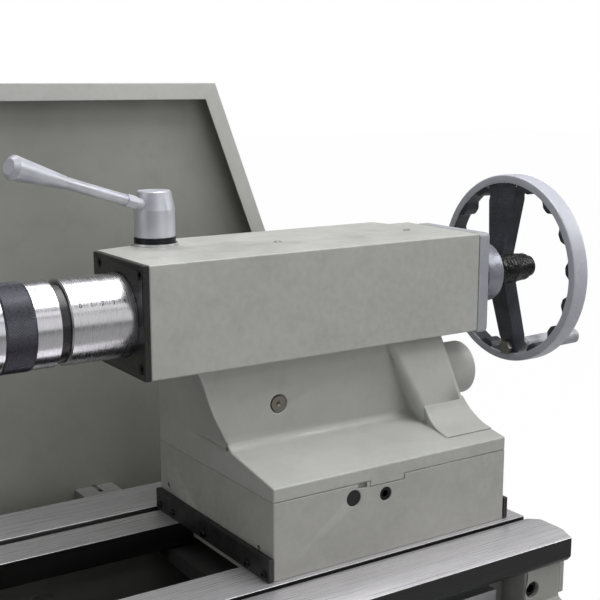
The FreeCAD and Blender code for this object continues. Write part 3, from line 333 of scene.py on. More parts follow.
def socket_screw_tree():
    """Screws on points, each with its rounded head, shank and hexagon, at an angle of its own."""
    tree, given = new_tree("socket screws", "Seats", ("Head Radius", "Head Height", "Rounding",
                                                      "Socket Across", "Shank Radius", "Shank Length"),
                           ("Seed",))
    height, radius = given["Head Height"], given["Head Radius"]
    blank = add(tree, "GeometryNodeMeshCylinder", {"Vertices": 24, "Side Segments": 3, "Radius": radius,
                                                   "Depth": height})
    place = place_of(tree)
    rim = calc("GREATER_THAN", tree, place[2], times(tree, height, 0.4))
    shoulder = minus(tree, calc("GREATER_THAN", tree, place[2], 0.0), rim)
    narrower = minus(tree, 1.0, times(tree, rim, over(tree, given["Rounding"], radius)))
    lift = times(tree, shoulder, minus(tree, over(tree, height, 3.0), given["Rounding"]))
    moved = vector_of(tree, times(tree, place[0], narrower), times(tree, place[1], narrower),
                      plus(tree, plus(tree, place[2], lift), over(tree, height, 2.0)))
    head = put(tree, "GeometryNodeSetPosition", {"Geometry": blank.outputs[0], "Position": moved})
    shank = put(tree, "GeometryNodeMeshCylinder", {"Vertices": 16, "Radius": given["Shank Radius"],
                                                   "Depth": given["Shank Length"]})
    sunk = minus(tree, 0.0004, over(tree, given["Shank Length"], 2.0))
    shank = put(tree, "GeometryNodeTransform",
                {"Geometry": shank, "Translation": vector_of(tree, z=sunk)})
    whole = add(tree, "GeometryNodeMeshBoolean", {1: head}, operation="UNION")
    tree.links.new(shank, whole.inputs[1])
    hexagon = put(tree, "GeometryNodeMeshCylinder",
                  {"Vertices": 6, "Radius": over(tree, given["Socket Across"], math.sqrt(3)),
                   "Depth": height})
    hexagon = put(tree, "GeometryNodeTransform",
                  {"Geometry": hexagon, "Translation": vector_of(tree, z=times(tree, height, 0.95))})
    broached = put(tree, "GeometryNodeMeshBoolean", {0: whole.outputs[0], 1: hexagon},
                   operation="DIFFERENCE")
    outward = put(tree, "GeometryNodeInputNamedAttribute", {"Name": "outward"}, data_type="FLOAT_VECTOR")
    stood = put(tree, "FunctionNodeAlignRotationToVector", {"Vector": outward}, axis="Z")
    angle = add(tree, "FunctionNodeRandomValue", {2: 0.0, 3: math.pi / 3, "Seed": given["Seed"]},
                data_type="FLOAT").outputs[1]
    spin = put(tree, "FunctionNodeAxisAngleToRotation", {"Axis": (0, 0, 1), "Angle": angle})
    facing = put(tree, "FunctionNodeRotateRotation", {0: stood, 1: spin}, rotation_space="LOCAL")
    points = put(tree, "GeometryNodeMeshToPoints", {"Mesh": given["Seats"]})
    heads = put(tree, "GeometryNodeInstanceOnPoints", {"Points": points, "Instance": broached,
                                                       "Rotation": facing})
    return close_tree(tree, heads, given)


screw_tree = socket_screw_tree()


def socket_screws(name, node, finish, axis, middle, head_height, rounding, shank, reach, across=1.05):
    """Screws on every seat of a CAD node, pointing along axis past middle and against it before."""
    seats, outwards = [], []
    head_radius = 0.0
    for low, high in loose_parts(node):
        centre = (low + high) / 2
        side = 1 if centre[axis] > middle else -1
        outward = Vector((0, 0, 0))
        outward[axis] = side
        seat = centre.copy()
        seat[axis] = (high[axis] - head_height) if side > 0 else (low[axis] + head_height)
        seats.append(seat)
        outwards.extend(outward)
        other = (axis + 1) % 3
        head_radius = (high[other] - low[other]) / 2
    start = bpy.data.meshes.new(name)
    start.from_pydata(seats, [], [])
    start.attributes.new("outward", "FLOAT_VECTOR", "POINT").data.foreach_set("vector", outwards)
    piece = grown(name, start, screw_tree, finish, Head_Radius=head_radius, Head_Height=head_height,
                  Rounding=rounding, Socket_Across=head_radius * across, Shank_Radius=shank,
                  Shank_Length=reach, Seed=screw_seed)
    smoothed(piece.data, 40)
    return piece


oxide = machined("black_oxide", oxide_colour, 0.34, (1, 1, 1), fine=900.0, spots=0.3)
zinc = machined("zinc_plate", (0.52, 0.53, 0.52), 0.36, (1, 1, 1), fine=700.0)
far_below = -10.0
far_above = 10.0

rack_bolts = socket_screws("rack_bolts", "rack_screws", oxide, 1, far_above, 0.005, 0.0006, 0.0028,
                           0.021)
bracket_bolts = socket_screws("bracket_bolts", "bracket_screws", oxide, 1, far_above, 0.009, 0.001,
                              0.0055, 0.02)
cover_bolts = socket_screws("bed_cover_bolts", "bed_cover_screws", oxide, 0, far_below, 0.005, 0.0008,
                            0.0028, 0.015)
guard_bolts = socket_screws("guard_bolts", "guard_screws", zinc, 1, far_below, 0.0035, 0.0012, 0.0028,
                            0.017)
for bolts, node, slot in ((rack_bolts, "rack_screws", "black_oxide"),
                          (bracket_bolts, "bracket_screws", "black_oxide"),
                          (cover_bolts, "bed_cover_screws", "black_oxide"),
                          (guard_bolts, "guard_screws", "zinc")):
    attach(bolts, "bed")
    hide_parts(node)


# ---- Rod-end bracket and bed end cover ----
# The bracket is an iron casting bolted to the front wall, bored for the ends of the three rods.
# The cover is a plate over the open end of the bed, with an ear that reaches behind the bracket.
bracket_paint = enamel("bracket_paint", (0.36, 0.36, 0.34), 0.42, lumps=0.0004)
for node, name, edge in (("rod_end_bracket", "rod_bracket", 0.0013),
                         ("bed_end_cover", "bed_cover", 0.0007)):
    casting = softened(node, name, edge)
    finished(casting, bracket_paint)
    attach(casting, "bed")
    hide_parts(node)


# ---- Splash guard ----
# A shallow pan folded from sheet steel, standing behind the bed with its lip turned to the front.
# It is sprayed grey inside and out, and hangs on blocks screwed to the back of the bed.
# The one grey is given as two copies: a darker one over the pan, painted shade, and a lighter one on the
# lip, painted light.
guard_paint = enamel("guard_paint", (0.33, 0.335, 0.305), 0.4, peel=0.00002, lumps=0.0002, worn=0.15)
lip_lit_paint = enamel("guard_lip_paint", (0.56, 0.56, 0.54), 0.34, peel=0.00002, lumps=0.0001, worn=0.2)
guard = softened("splash_guard", "guard_pan", 0.0008)
sheet_thickness = 0.0017
lip_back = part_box("splash_guard")[0].y + sheet_thickness
finished(guard, guard_paint, lip_lit_paint, choose=lambda centre, normal: 1 if centre.y < lip_back else 0)
blocks = softened("guard_brackets", "guard_blocks", 0.0012)
finished(blocks, bed_paint)
for part, node in ((guard, "splash_guard"), (blocks, "guard_brackets")):
    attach(part, "bed")
    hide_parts(node)


# ---- Leadscrew, feed rod and control rod ----
# Three bright steel rods along the front of the bed, each turning in the bracket at this end.
# The leadscrew has a square-shouldered thread cut along it, and the feed rod a long keyway.
thread_pitch, thread_depth = 0.006, 0.0022
rod_steel = machined("rod_steel", (0.6, 0.6, 0.62), 0.3, (1, 0.03, 0.03), marks=0.0000003, fine=1400.0,
                     spots=0.3)
thread_steps, thread_round = 1008, 36


def unit_sheet(tree, columns, rows):
    """A flat sheet, with how far across and along it each point lies, from 0 to 1."""
    sheet = put(tree, "GeometryNodeMeshGrid", {"Size X": 1.0, "Size Y": 1.0, "Vertices X": columns,
                                               "Vertices Y": rows})
    place = place_of(tree)
    return sheet, plus(tree, place[0], 0.5), plus(tree, place[1], 0.5)


def rolled(tree, sheet, point, given):
    """Ends a tree: its sheet is bent on to new points and welded where its edges meet."""
    bent = put(tree, "GeometryNodeSetPosition", {"Geometry": sheet, "Position": point})
    shut = put(tree, "GeometryNodeMergeByDistance", {"Geometry": bent, "Distance": weld})
    return close_tree(tree, shut, given)


def thread_tree():
    """A sheet rolled into a bar, with a square-shouldered groove that runs out at both ends."""
    tree, given = new_tree("cut thread", "Start", ("Left", "Length", "Radius", "Pitch", "Depth",
                                                   "Axis Y", "Axis Z"), ("Steps", "Round"))
    sheet, share, turn = unit_sheet(tree, given["Steps"], given["Round"])
    along = times(tree, share, given["Length"])
    phase = calc("FRACT", tree, minus(tree, over(tree, along, given["Pitch"]), turn))
    crest = minus(tree, 1.0, calc("ABSOLUTE", tree, minus(tree, times(tree, phase, 2.0), 1.0)))
    wall = mapped(tree, crest, 0.4, 0.6)
    from_end = calc("MINIMUM", tree, along, minus(tree, given["Length"], along))
    run_out = mapped(tree, from_end, 0.0, given["Pitch"])
    radius = minus(tree, given["Radius"],
                   times(tree, given["Depth"], minus(tree, 1.0, times(tree, wall, run_out))))
    angle = times(tree, turn, math.tau)
    point = vector_of(tree, plus(tree, given["Left"], along),
                      plus(tree, given["Axis Y"], times(tree, radius, calc("COSINE", tree, angle))),
                      minus(tree, given["Axis Z"], times(tree, radius, calc("SINE", tree, angle))))
    return rolled(tree, sheet, point, given)


def capped(piece):
    """Closes the open ends of a piece with flat faces."""
    shape = opened(piece.data)
    rims = [edge for edge in shape.edges if edge.is_boundary]
    bmesh.ops.holes_fill(shape, edges=rims, sides=0)
    bmesh.ops.recalc_face_normals(shape, faces=shape.faces)
    stored(shape, piece.data)


screw_low, screw_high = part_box("leadscrew")
bracket_low, bracket_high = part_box("rod_end_bracket")
screw_y, screw_z = (screw_low.y + screw_high.y) / 2, (screw_low.z + screw_high.z) / 2
screw_radius = (screw_high.z - screw_low.z) / 2
plain_length, end_gap = 0.06, 0.0005
plain_start = bracket_low.x - plain_length
threaded = grown("leadscrew_thread", bpy.data.meshes.new("leadscrew_thread"), thread_tree(), rod_steel,
                 Left=screw_low.x, Length=plain_start - screw_low.x, Radius=screw_radius,
                 Pitch=thread_pitch, Depth=thread_depth, Axis_Y=screw_y, Axis_Z=screw_z,
                 Steps=thread_steps, Round=thread_round)


def turned(name, profile, axis_y, axis_z, finish, round_steps=72):
    """A piece turned about an X axis from (x, radius) pairs, closed at both ends."""
    shape = bmesh.new()
    rings = []
    for x, radius in profile:
        rings.append([shape.verts.new((x, axis_y + radius * math.cos(math.tau * step / round_steps),
                                       axis_z + radius * math.sin(math.tau * step / round_steps)))
                      for step in range(round_steps)])
    for first, second in zip(rings, rings[1:]):
        for step in range(round_steps):
            after = (step + 1) % round_steps
            shape.faces.new((first[step], first[after], second[after], second[step]))
    shape.faces.new(rings[0])
    shape.faces.new(rings[-1][::-1])
    bmesh.ops.recalc_face_normals(shape, faces=shape.faces)
    mesh = stored(shape, bpy.data.meshes.new(name))
    smoothed(mesh, 38)
    mesh.materials.append(finish)
    return in_scene(name, mesh)


capped(threaded)
smoothed(threaded.data, 38)
journal = screw_radius * 0.72
shank_end, collar_start = bracket_low.x - end_gap, bracket_high.x + end_gap
plain_profile = [(plain_start - 0.004, screw_radius - thread_depth),
                 (plain_start, screw_radius - thread_depth), (plain_start + 0.001, screw_radius),
                 (shank_end - 0.001, screw_radius), (shank_end, screw_radius - 0.001),
                 (shank_end, journal), (collar_start, journal), (collar_start, screw_radius - 0.0008),
                 (bracket_high.x + 0.0013, screw_radius), (screw_high.x - 0.0012, screw_radius),
                 (screw_high.x, screw_radius - 0.0012)]
plain_screw = turned("leadscrew_plain_end", plain_profile, screw_y, screw_z, rod_steel)
for part in (threaded, plain_screw):
    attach(part, "leadscrew")
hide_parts("leadscrew")
coat(rod_steel, "feed_rod", "control_rod")


# ---- Tailstock base ----
# An iron casting that slides on the inner ways, painted outside and scraped where it bears.
# A black plug, a socket set screw and an index notch show on its front, and rubber wipers are
# screwed to its ends.
base_paint = enamel("base_paint", (0.4, 0.4, 0.375), 0.4, lumps=0.0003)
base = softened("base_casting", "tailstock_base_block", 0.0008)
finished(base, base_paint)
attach(base, "tailstock_base")
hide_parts("base_casting")


def rubber(name, colour, roughness):
    """Moulded black rubber or plastic with a fine grain."""
    made, tree, shader = bare_finish(name, 0.0, roughness)
    shade = patches(tree, 0.0, 1.0, 60.0, detail=4.0)
    tree.links.new(mixed(tree, shade, toned(colour, 0.8), toned(colour, 1.5)),
                   shader.inputs["Base Color"])
    tree.links.new(patches(tree, roughness - 0.08, roughness + 0.1, 90.0), shader.inputs["Roughness"])
    relief(tree, shader, [(patches(tree, 0.0, 1.0, 1500.0), 0.00003)])
    return made


wiper_rubber = rubber("wiper_rubber", (0.012, 0.012, 0.013), 0.45)
for node, name in (("left_wiper", "wiper_left_end"), ("right_wiper", "wiper_right_end")):
    wiper = softened(node, name, 0.0009)
    finished(wiper, wiper_rubber)
    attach(wiper, "tailstock_base")
    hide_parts(node)
wiper_middle = (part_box("wiper_screws")[0].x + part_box("wiper_screws")[1].x) / 2
wiper_bolts = socket_screws("wiper_bolts", "wiper_screws", oxide, 0, wiper_middle, 0.0024, 0.0013,
                            0.0018, 0.012, across=0.8)
key_bolt = socket_screws("key_bolt", "key_screw", oxide, 2, far_below, 0.004, 0.0005, 0.0024, 0.017)
for bolts, node in ((wiper_bolts, "wiper_screws"), (key_bolt, "key_screw")):
    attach(bolts, "tailstock_base")
    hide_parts(node)
plug_black = rubber("plug_black", (0.006, 0.006, 0.006), 0.6)
ground_bar = machined("ground_bar", (0.55, 0.55, 0.56), 0.3, (1, 0.02, 1), fine=1200.0)
coat(plug_black, "base_plug")
coat(ground_bar, "cross_key")
coat(oxide, "front_set_screw", "rear_set_screw")


# ---- Tailstock body ----
# The main iron casting: a flange on the base, a waisted neck and a square housing round the quill.
# It is filled, rubbed down and sprayed light grey, with its corners left soft from the pattern.
body_paint = enamel("body_paint", (0.44, 0.445, 0.42), 0.38, lumps=0.00035)
strip_centre, strip_radius = Vector((-0.09253, 0.42592)), 0.03548
strip_left, strip_front, strip_back = 0.3017, -0.0905, -0.0575
strip_wall, strip_width, strip_proud = -0.058, 0.033, 0.0048
column_x, column_z, column_lean = 0.3615, 0.3879, 0.244
on_strip = 0.0003


def blended_foot(piece):
    """Lays the top edge of the strip at the column's foot back on to the column's two faces."""
    for corner in piece.data.vertices:
        x, y, z = corner.co
        arm = Vector((y, z)) - strip_centre
        off_strip = abs(arm.length - strip_radius) > on_strip
        if x < strip_left or off_strip or not strip_front < y < strip_back:
            continue
        share = (strip_wall - y) / strip_width
        flush = strip_proud * (1 - share) ** 2
        face = column_x - column_lean * (z - column_z) * (1 - share)
        corner.co = (min(x, face), y + flush, z)
    piece.data.set_sharp_from_angle(angle=math.radians(32))


quill_low, quill_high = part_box("quill")
quill_radius = (quill_high.z - quill_low.z) / 2
quill_z = (quill_high.z + quill_low.z) / 2
bore_clearance, bore_ease = 0.00012, 0.0003


def eased_bore(piece, radius, ease):
    """Opens the flats of the bore a little, so that the engraved quill runs clear of them."""
    for corner in piece.data.vertices:
        out = Vector((0, corner.co.y, corner.co.z - quill_z))
        if radius < out.length < radius + bore_clearance:
            corner.co += out.normalized() * ease


body = softened("body_casting", "tailstock_body_block", 0.0016, segments=3)
blended_foot(body)
eased_bore(body, quill_radius, bore_ease)
finished(body, body_paint)
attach(body, "tailstock_body")
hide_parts("body_casting")


# ---- End plate, end cover and bearing cover ----
# A black plate screwed on the quill end of the housing keeps chips out, and a silver-grey cover
# at the wheel end holds the bearings of the feed screw, with a turned cap in front of it.
plate_black = enamel("plate_black", (0.014, 0.014, 0.014), 0.3, peel=0.00003, lumps=0.00008, worn=0.3)
plate = softened("end_plate", "mouth_plate", 0.0005)
finished(plate, plate_black)
plate_bolts = socket_screws("mouth_plate_bolts", "end_plate_screws", oxide, 0, far_above, 0.0028, 0.0005,
                            0.0023, 0.012)
cover_silver = enamel("cover_silver", (0.38, 0.39, 0.42), 0.33, peel=0.00003, lumps=0.00008, worn=0.25)
cover = softened("end_cover", "bearing_housing_cover", 0.0006)
finished(cover, cover_silver)
end_bolts = socket_screws("bearing_cover_bolts", "end_cover_screws", oxide, 0, far_below, 0.005, 0.0007,
                          0.0028, 0.022)
for part, node, slot in ((plate, "end_plate", "black_paint"),
                         (plate_bolts, "end_plate_screws", "black_oxide"),
                         (cover, "end_cover", "cover_paint"),
                         (end_bolts, "end_cover_screws", "black_oxide")):
    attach(part, "tailstock_body")
    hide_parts(node)


def satin_metal(name, colour, roughness, metallic=0.7):
    """Satin plating: an even grey sheen with faint smears and a fine grain."""
    made, tree, shader = bare_finish(name, metallic, roughness)
    smear = patches(tree, 0.0, 1.0, 38.0, detail=4.0)
    tree.links.new(mixed(tree, smear, toned(colour, 0.9), toned(colour, 1.06)),
                   shader.inputs["Base Color"])
    tree.links.new(patches(tree, roughness - 0.05, roughness + 0.08, 60.0), shader.inputs["Roughness"])
    relief(tree, shader, [(patches(tree, 0.0, 1.0, 900.0, detail=2.0), 0.000006)])
    return made


cap_steel = satin_metal("cap_steel", (0.42, 0.43, 0.48), 0.34)
coat(cap_steel, "bearing_cover")


# ---- Oilers, guide key, bearings and seat ring ----
# Pressed-in steel ball oilers feed the bore, a steel key guides the quill, and two ball races
# take the thrust of the screw. The seat ring is a bright washer let into the top.
race_steel = machined("race_steel", (0.65, 0.65, 0.67), 0.18, (1, 0.03, 0.03), fine=1800.0)
seat_steel = machined("seat_steel", (0.7, 0.7, 0.72), 0.22, (0.04, 0.04, 1), fine=1600.0)
coat(race_steel, "oilers")
coat(ground_bar, "guide_key")
coat(race_steel, "thrust_bearings")
coat(seat_steel, "seat_ring")


# ---- Quill ----
# A hardened steel barrel, ground bright, with a bronze nut let into its back end.
# Two rows of marks are engraved along its front and filled black, one with figures.
quill_steel = machined("quill_steel", (0.5, 0.495, 0.515), 0.24, (1, 0.02, 0.02), marks=0.0000004,
                       fine=2600.0, spots=0.1)
bronze = machined("turned_bronze", (0.62, 0.4, 0.2), 0.32, (1, 0.04, 0.04), fine=1500.0)
coat(quill_steel, "quill")
coat(bronze, "quill_nut")
nut_bolts = socket_screws("nut_bolts", "nut_screws", oxide, 0, far_below, 0.003, 0.0004, 0.0018, 0.018)
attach(nut_bolts, "quill")
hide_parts("nut_screws")
first_mark = 0.009
mark_start = quill_low.x + first_mark
tenths, millimetres = math.radians(119.4), math.radians(150.3)
mark_height, figure_size, figure_gap = 0.00012, 0.0058, 0.16


def scale_tree():
    """A row of engraved lines along the quill, every few of them longer, bent round its side."""
    tree, given = new_tree("engraved scale", "Start", ("Left", "Pitch", "Short", "Long", "Line Width",
                                                       "Line Height", "Radius", "Angle", "Axis Z"),
                           ("Count", "Long Every"))
    offset = vector_of(tree, x=given["Pitch"])
    line = put(tree, "GeometryNodeMeshLine",
               {"Count": given["Count"], "Start Location": vector_of(tree, x=given["Left"]),
                "Offset": offset}, mode="OFFSET")
    index = put(tree, "GeometryNodeInputIndex")
    longer = calc("LESS_THAN", tree, calc("MODULO", tree, index, given["Long Every"]), 0.5)
    length = plus(tree, given["Short"], times(tree, longer, minus(tree, given["Long"], given["Short"])))
    bar = put(tree, "GeometryNodeMeshCube", {"Size": (1, 1, 1), "Vertices X": 2, "Vertices Y": 5,
                                             "Vertices Z": 2})
    bar = put(tree, "GeometryNodeTransform", {"Geometry": bar, "Translation": (0, 0.5, 0)})
    bars = put(tree, "GeometryNodeInstanceOnPoints", {"Points": line, "Instance": bar,
                                                      "Scale": vector_of(tree, given["Line Width"],
                                                                         length, given["Line Height"])})
    real = put(tree, "GeometryNodeRealizeInstances", {"Geometry": bars})
    place = place_of(tree)
    angle = minus(tree, given["Angle"], over(tree, place[1], given["Radius"]))
    radius = plus(tree, given["Radius"], place[2])
    wrapped = vector_of(tree, place[0], times(tree, radius, calc("COSINE", tree, angle)),
                        plus(tree, given["Axis Z"], times(tree, radius, calc("SINE", tree, angle))))
    round_it = put(tree, "GeometryNodeSetPosition", {"Geometry": real, "Position": wrapped})
    return close_tree(tree, round_it, given)


def figures(name, finish, marks, size, radius, angle, axis_z, height):
    """Figures engraved round an X axis: (text, x) pairs, stood on a line at angle."""
    shape = bmesh.new()
    for text, x in marks:
        lettering = bpy.data.curves.new(name, "FONT")
        lettering.body, lettering.size, lettering.extrude = text, size, height
        lettering.align_x, lettering.align_y = "CENTER", "CENTER"
        holder = in_scene(name, lettering)
        bpy.context.view_layer.update()
        flat = bpy.data.meshes.new_from_object(
            holder.evaluated_get(bpy.context.evaluated_depsgraph_get()))
        bpy.data.objects.remove(holder)
        for corner in flat.vertices:
            across, up, out = corner.co
            around = angle - up / radius
            far = radius + out
            corner.co = (x + across, far * math.cos(around), axis_z + far * math.sin(around))
        shape.from_mesh(flat)
    bmesh.ops.remove_doubles(shape, verts=shape.verts, dist=weld)
    mesh = stored(shape, bpy.data.meshes.new(name))
    mesh.materials.append(finish)
    return in_scene(name, mesh)


mark_fill = rubber("engraved_fill", (0.02, 0.02, 0.024), 0.5)
marks_tree = scale_tree()
tenth_marks = grown("quill_tenth_marks", bpy.data.meshes.new("marks"), marks_tree, mark_fill,
                    Left=mark_start, Pitch=0.00254, Short=0.0026, Long=0.0048, Line_Width=0.00042,
                    Line_Height=mark_height, Radius=quill_radius, Angle=tenths, Axis_Z=quill_z, Count=40,
                    Long_Every=5)
metric_marks = grown("quill_metric_marks", bpy.data.meshes.new("marks"), marks_tree, mark_fill,
                     Left=mark_start, Pitch=0.002, Short=0.0018, Long=0.0034, Line_Width=0.0003,
                     Line_Height=mark_height, Radius=quill_radius, Angle=millimetres - figure_gap,
                     Axis_Z=quill_z, Count=51, Long_Every=5)
figure_places = [(str(count), mark_start + 0.01 * count) for count in range(10)]
quill_figures = figures("quill_figures", mark_fill, figure_places, figure_size, quill_radius,
                        millimetres, quill_z, mark_height / 2)
for marks in (tenth_marks, metric_marks, quill_figures):
    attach(marks, "quill")


# ---- Live centre ----
# A hardened steel centre on ball races in the quill's taper: a still body with a black seal,
# a black knurled band to hold it by, and the nose that turns with the work.
ring_steel = machined("ring_steel", (0.54, 0.53, 0.56), 0.22, (1, 0.02, 0.02), marks=0.0000004,
                      fine=2600.0)
band_low, band_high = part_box("knurled_ring")
knurl_radius = (band_high.z - band_low.z) / 2
knurl_depth, knurl_round, knurl_along, knurl_edge = 0.00042, 400, 36, 0.001
band_bore = 0.0315


def knurl_tree():
    """A sheet rolled into a band, with two sets of crossing ridges that fall away at its ends."""
    tree, given = new_tree("diamond knurl", "Start", ("Left", "Length", "Radius", "Depth", "Edge",
                                                      "Axis Z"), ("Round", "Along"))
    sheet, along, turn = unit_sheet(tree, plus(tree, given["Along"], 1), plus(tree, given["Round"], 1))
    rows = times(tree, along, over(tree, given["Along"], 4.0))
    columns = times(tree, turn, over(tree, given["Round"], 4.0))
    ridges = []
    for operation in ("ADD", "SUBTRACT"):
        wave = calc("FRACT", tree, calc(operation, tree, columns, rows))
        ridges.append(times(tree, calc("ABSOLUTE", tree, minus(tree, wave, 0.5)), 2.0))
    height = calc("MINIMUM", tree, ridges[0], ridges[1])
    x = times(tree, along, given["Length"])
    from_end = calc("MINIMUM", tree, x, minus(tree, given["Length"], x))
    drop = mapped(tree, from_end, 0.0, given["Edge"], given["Edge"], 0.0)
    radius = minus(tree, plus(tree, minus(tree, given["Radius"], given["Depth"]),
                              times(tree, height, given["Depth"])), drop)
    angle = times(tree, turn, math.tau)
    point = vector_of(tree, plus(tree, given["Left"], x),
                      times(tree, radius, calc("COSINE", tree, angle)),
                      minus(tree, given["Axis Z"], times(tree, radius, calc("SINE", tree, angle))))
    return rolled(tree, sheet, point, given)


def bored(piece, radius, axis_z):
    """Gives an open band two end faces and a bore, so that it is a closed ring."""
    shape = opened(piece.data)
    rims = [edge for edge in shape.edges if edge.is_boundary]
    inner = bmesh.ops.extrude_edge_only(shape, edges=rims)["geom"]
    for corner in (part for part in inner if isinstance(part, bmesh.types.BMVert)):
        out = Vector((0, corner.co.y, corner.co.z - axis_z)).normalized() * radius
        corner.co.y, corner.co.z = out.y, out.z + axis_z
    bmesh.ops.bridge_loops(shape, edges=[edge for edge in shape.edges if edge.is_boundary])
    bmesh.ops.recalc_face_normals(shape, faces=shape.faces)
    stored(shape, piece.data)


knurl_black = machined("knurl_black", (0.1, 0.1, 0.12), 0.3, (1, 1, 1), fine=700.0, spots=0.2)
knurled = grown("knurled_band", bpy.data.meshes.new("knurled_band"), knurl_tree(), knurl_black,
                Left=band_low.x, Length=band_high.x - band_low.x, Radius=knurl_radius, Depth=knurl_depth,
                Edge=knurl_edge, Axis_Z=quill_z, Round=knurl_round, Along=knurl_along)
bored(knurled, band_bore, quill_z)
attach(knurled, "quill")
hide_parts("knurled_ring")
seal_black = rubber("seal_black", (0.01, 0.01, 0.011), 0.25)
coat(ring_steel, "centre_arbor", "centre_point")
coat(race_steel, "centre_bearings")
coat(seal_black, "seal_ring")


# ---- Feed screw and its dial ----
# The steel screw draws the quill by its bronze nut. The dial collar beside the cap turns with it:
# a plain turned ring, plated satin grey.
dial_grey = satin_metal("dial_grey", (0.4, 0.41, 0.47), 0.3)
coat(rod_steel, "feed_screw", "wheel_key")
coat(dial_grey, "dial_collar")


# ---- Handwheel ----
# A cast wheel with two flat spokes and finger grips round the inside of its rim. The rim is turned
# and sprayed silver-grey; the rest is black crinkle paint. A key and a cap nut hold it on the screw.
wheel_low, wheel_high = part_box("handwheel")
wheel_radius = (wheel_high.z - wheel_low.z) / 2
wheel_z = (wheel_high.z + wheel_low.z) / 2
rim_width, rim_depth, rim_set, rim_squareness = 0.0092, 0.02, 0.0298, 0.26
grip_height, grip_set_back, grip_count = 0.0054, 0.0015, 16
rim_near = wheel_high.x - rim_set
wheel_turn = math.radians(6.0)
rim_silver = enamel("rim_silver", (0.5, 0.51, 0.57), 0.3, peel=0.00001, lumps=0.00002, worn=0.1)


def crinkle(name, colour, roughness, size=700.0, depth=0.00018, shine=0.5):
    """Black crinkle paint: fine rounded wrinkles that dry into the coat."""
    made, tree, shader = bare_finish(name, 0.0, roughness)
    shader.inputs["Specular IOR Level"].default_value = shine
    place = add(tree, "ShaderNodeTexCoord").outputs["Object"]
    cells = add(tree, "ShaderNodeTexVoronoi", {"Vector": place, "Scale": size},
                feature="SMOOTH_F1").outputs["Distance"]
    shade = patches(tree, 0.0, 1.0, 40.0)
    tree.links.new(mixed(tree, shade, toned(colour, 0.7), toned(colour, 1.5)),
                   shader.inputs["Base Color"])
    relief(tree, shader, [(patches(tree, 0.0, 1.0, size * 0.6), depth), (cells, depth)])
    return made


wheel_black = crinkle("black_crinkle", (0.03, 0.032, 0.042), 0.38)
knob_black = crinkle("knob_black", (0.006, 0.006, 0.007), 0.22, size=420.0, depth=0.0003, shine=0.3)


def rim_tree():
    """A ring of rounded-square section whose inside swells into finger grips, all but its near edge."""
    tree, given = new_tree("gripped rim", "Start", ("Near", "Depth", "Radius", "Width", "Grip Height",
                                                    "Set Back", "Turn", "Axis Z"),
                           ("Grips", "Round", "Section"))
    sheet, across, around = unit_sheet(tree, plus(tree, given["Section"], 1),
                                       plus(tree, given["Round"], 1))
    corner = times(tree, across, math.tau)
    angle = times(tree, around, math.tau)
    squared = []
    for operation in ("COSINE", "SINE"):
        wave = calc(operation, tree, corner)
        squared.append(times(tree, calc("SIGN", tree, wave),
                             calc("POWER", tree, calc("ABSOLUTE", tree, wave), rim_squareness)))
    across = times(tree, given["Depth"], times(tree, plus(tree, squared[0], 1.0), 0.5))
    inward = times(tree, given["Width"], times(tree, minus(tree, 1.0, squared[1]), 0.5))
    inside = mapped(tree, squared[1], -0.4, -0.85)
    back = mapped(tree, across, 0.0, given["Set Back"])
    beat = calc("COSINE", tree, times(tree, minus(tree, angle, given["Turn"]), given["Grips"]))
    swell = mapped(tree, beat, -0.25, 0.95, interpolation_type="SMOOTHSTEP")
    grip = times(tree, times(tree, given["Grip Height"], swell), times(tree, inside, back))
    radius = minus(tree, minus(tree, given["Radius"], inward), grip)
    point = vector_of(tree, plus(tree, given["Near"], across),
                      times(tree, radius, calc("SINE", tree, angle)),
                      plus(tree, given["Axis Z"], times(tree, radius, calc("COSINE", tree, angle))))
    return rolled(tree, sheet, point, given)


spoke_start, spoke_bite, spoke_flare = 0.010, 0.006, 0.026
spoke_thick, spoke_edge, dish_start, dish_rise = 0.017, 0.0022, 0.014, 0.0165


def spoke(shape, hub_width, rim_end_width, side, flare, steps=20):
    """A flat spoke, dished from the hub out to the rim, that spreads where it meets the rim."""
    outer, spread_from = wheel_radius - spoke_bite, wheel_radius - spoke_flare
    rows = []
    for step in range(steps + 1):
        share = step / steps
        out = spoke_start + share * (outer - spoke_start)
        wide = (hub_width + share * (rim_end_width - hub_width)) / 2
        wide += flare * max(0.0, (out - spread_from) / (outer - spread_from)) ** 3
        near = rim_near - dish_start + dish_rise * share
        rows.append([shape.verts.new((near + back, across, side * out)) for back, across in
                     ((0, -wide), (0, wide), (spoke_thick, wide), (spoke_thick, -wide))])
    corners = []
    for first, second in zip(rows, rows[1:]):
        for index in range(4):
            after = (index + 1) % 4
            shape.faces.new((first[index], first[after], second[after], second[index]))
            corners.append(shape.edges.get((first[index], second[index])))
    shape.faces.new(rows[0])
    shape.faces.new(rows[-1])
    bmesh.ops.bevel(shape, geom=corners, offset=spoke_edge, segments=3, profile=0.5, affect="EDGES")


knob_core, knob_lump, lump_size = 0.004, 0.0007, 330.0


def cast_knob(name, profile, axis_z, finish, steps=40):
    """A turned knob left rough from the casting, with lumps under its paint."""
    dense = []
    for (x0, r0), (x1, r1) in zip(profile, profile[1:]):
        for step in range(steps):
            dense.append((x0 + (x1 - x0) * step / steps, r0 + (r1 - r0) * step / steps))
    piece = turned(name, dense + [profile[-1]], 0.0, axis_z, finish, round_steps=96)
    for corner in piece.data.vertices:
        out = Vector((0, corner.co.y, corner.co.z - axis_z))
        if out.length > knob_core:
            corner.co += out.normalized() * knob_lump * noise.noise(corner.co * lump_size)
    return piece


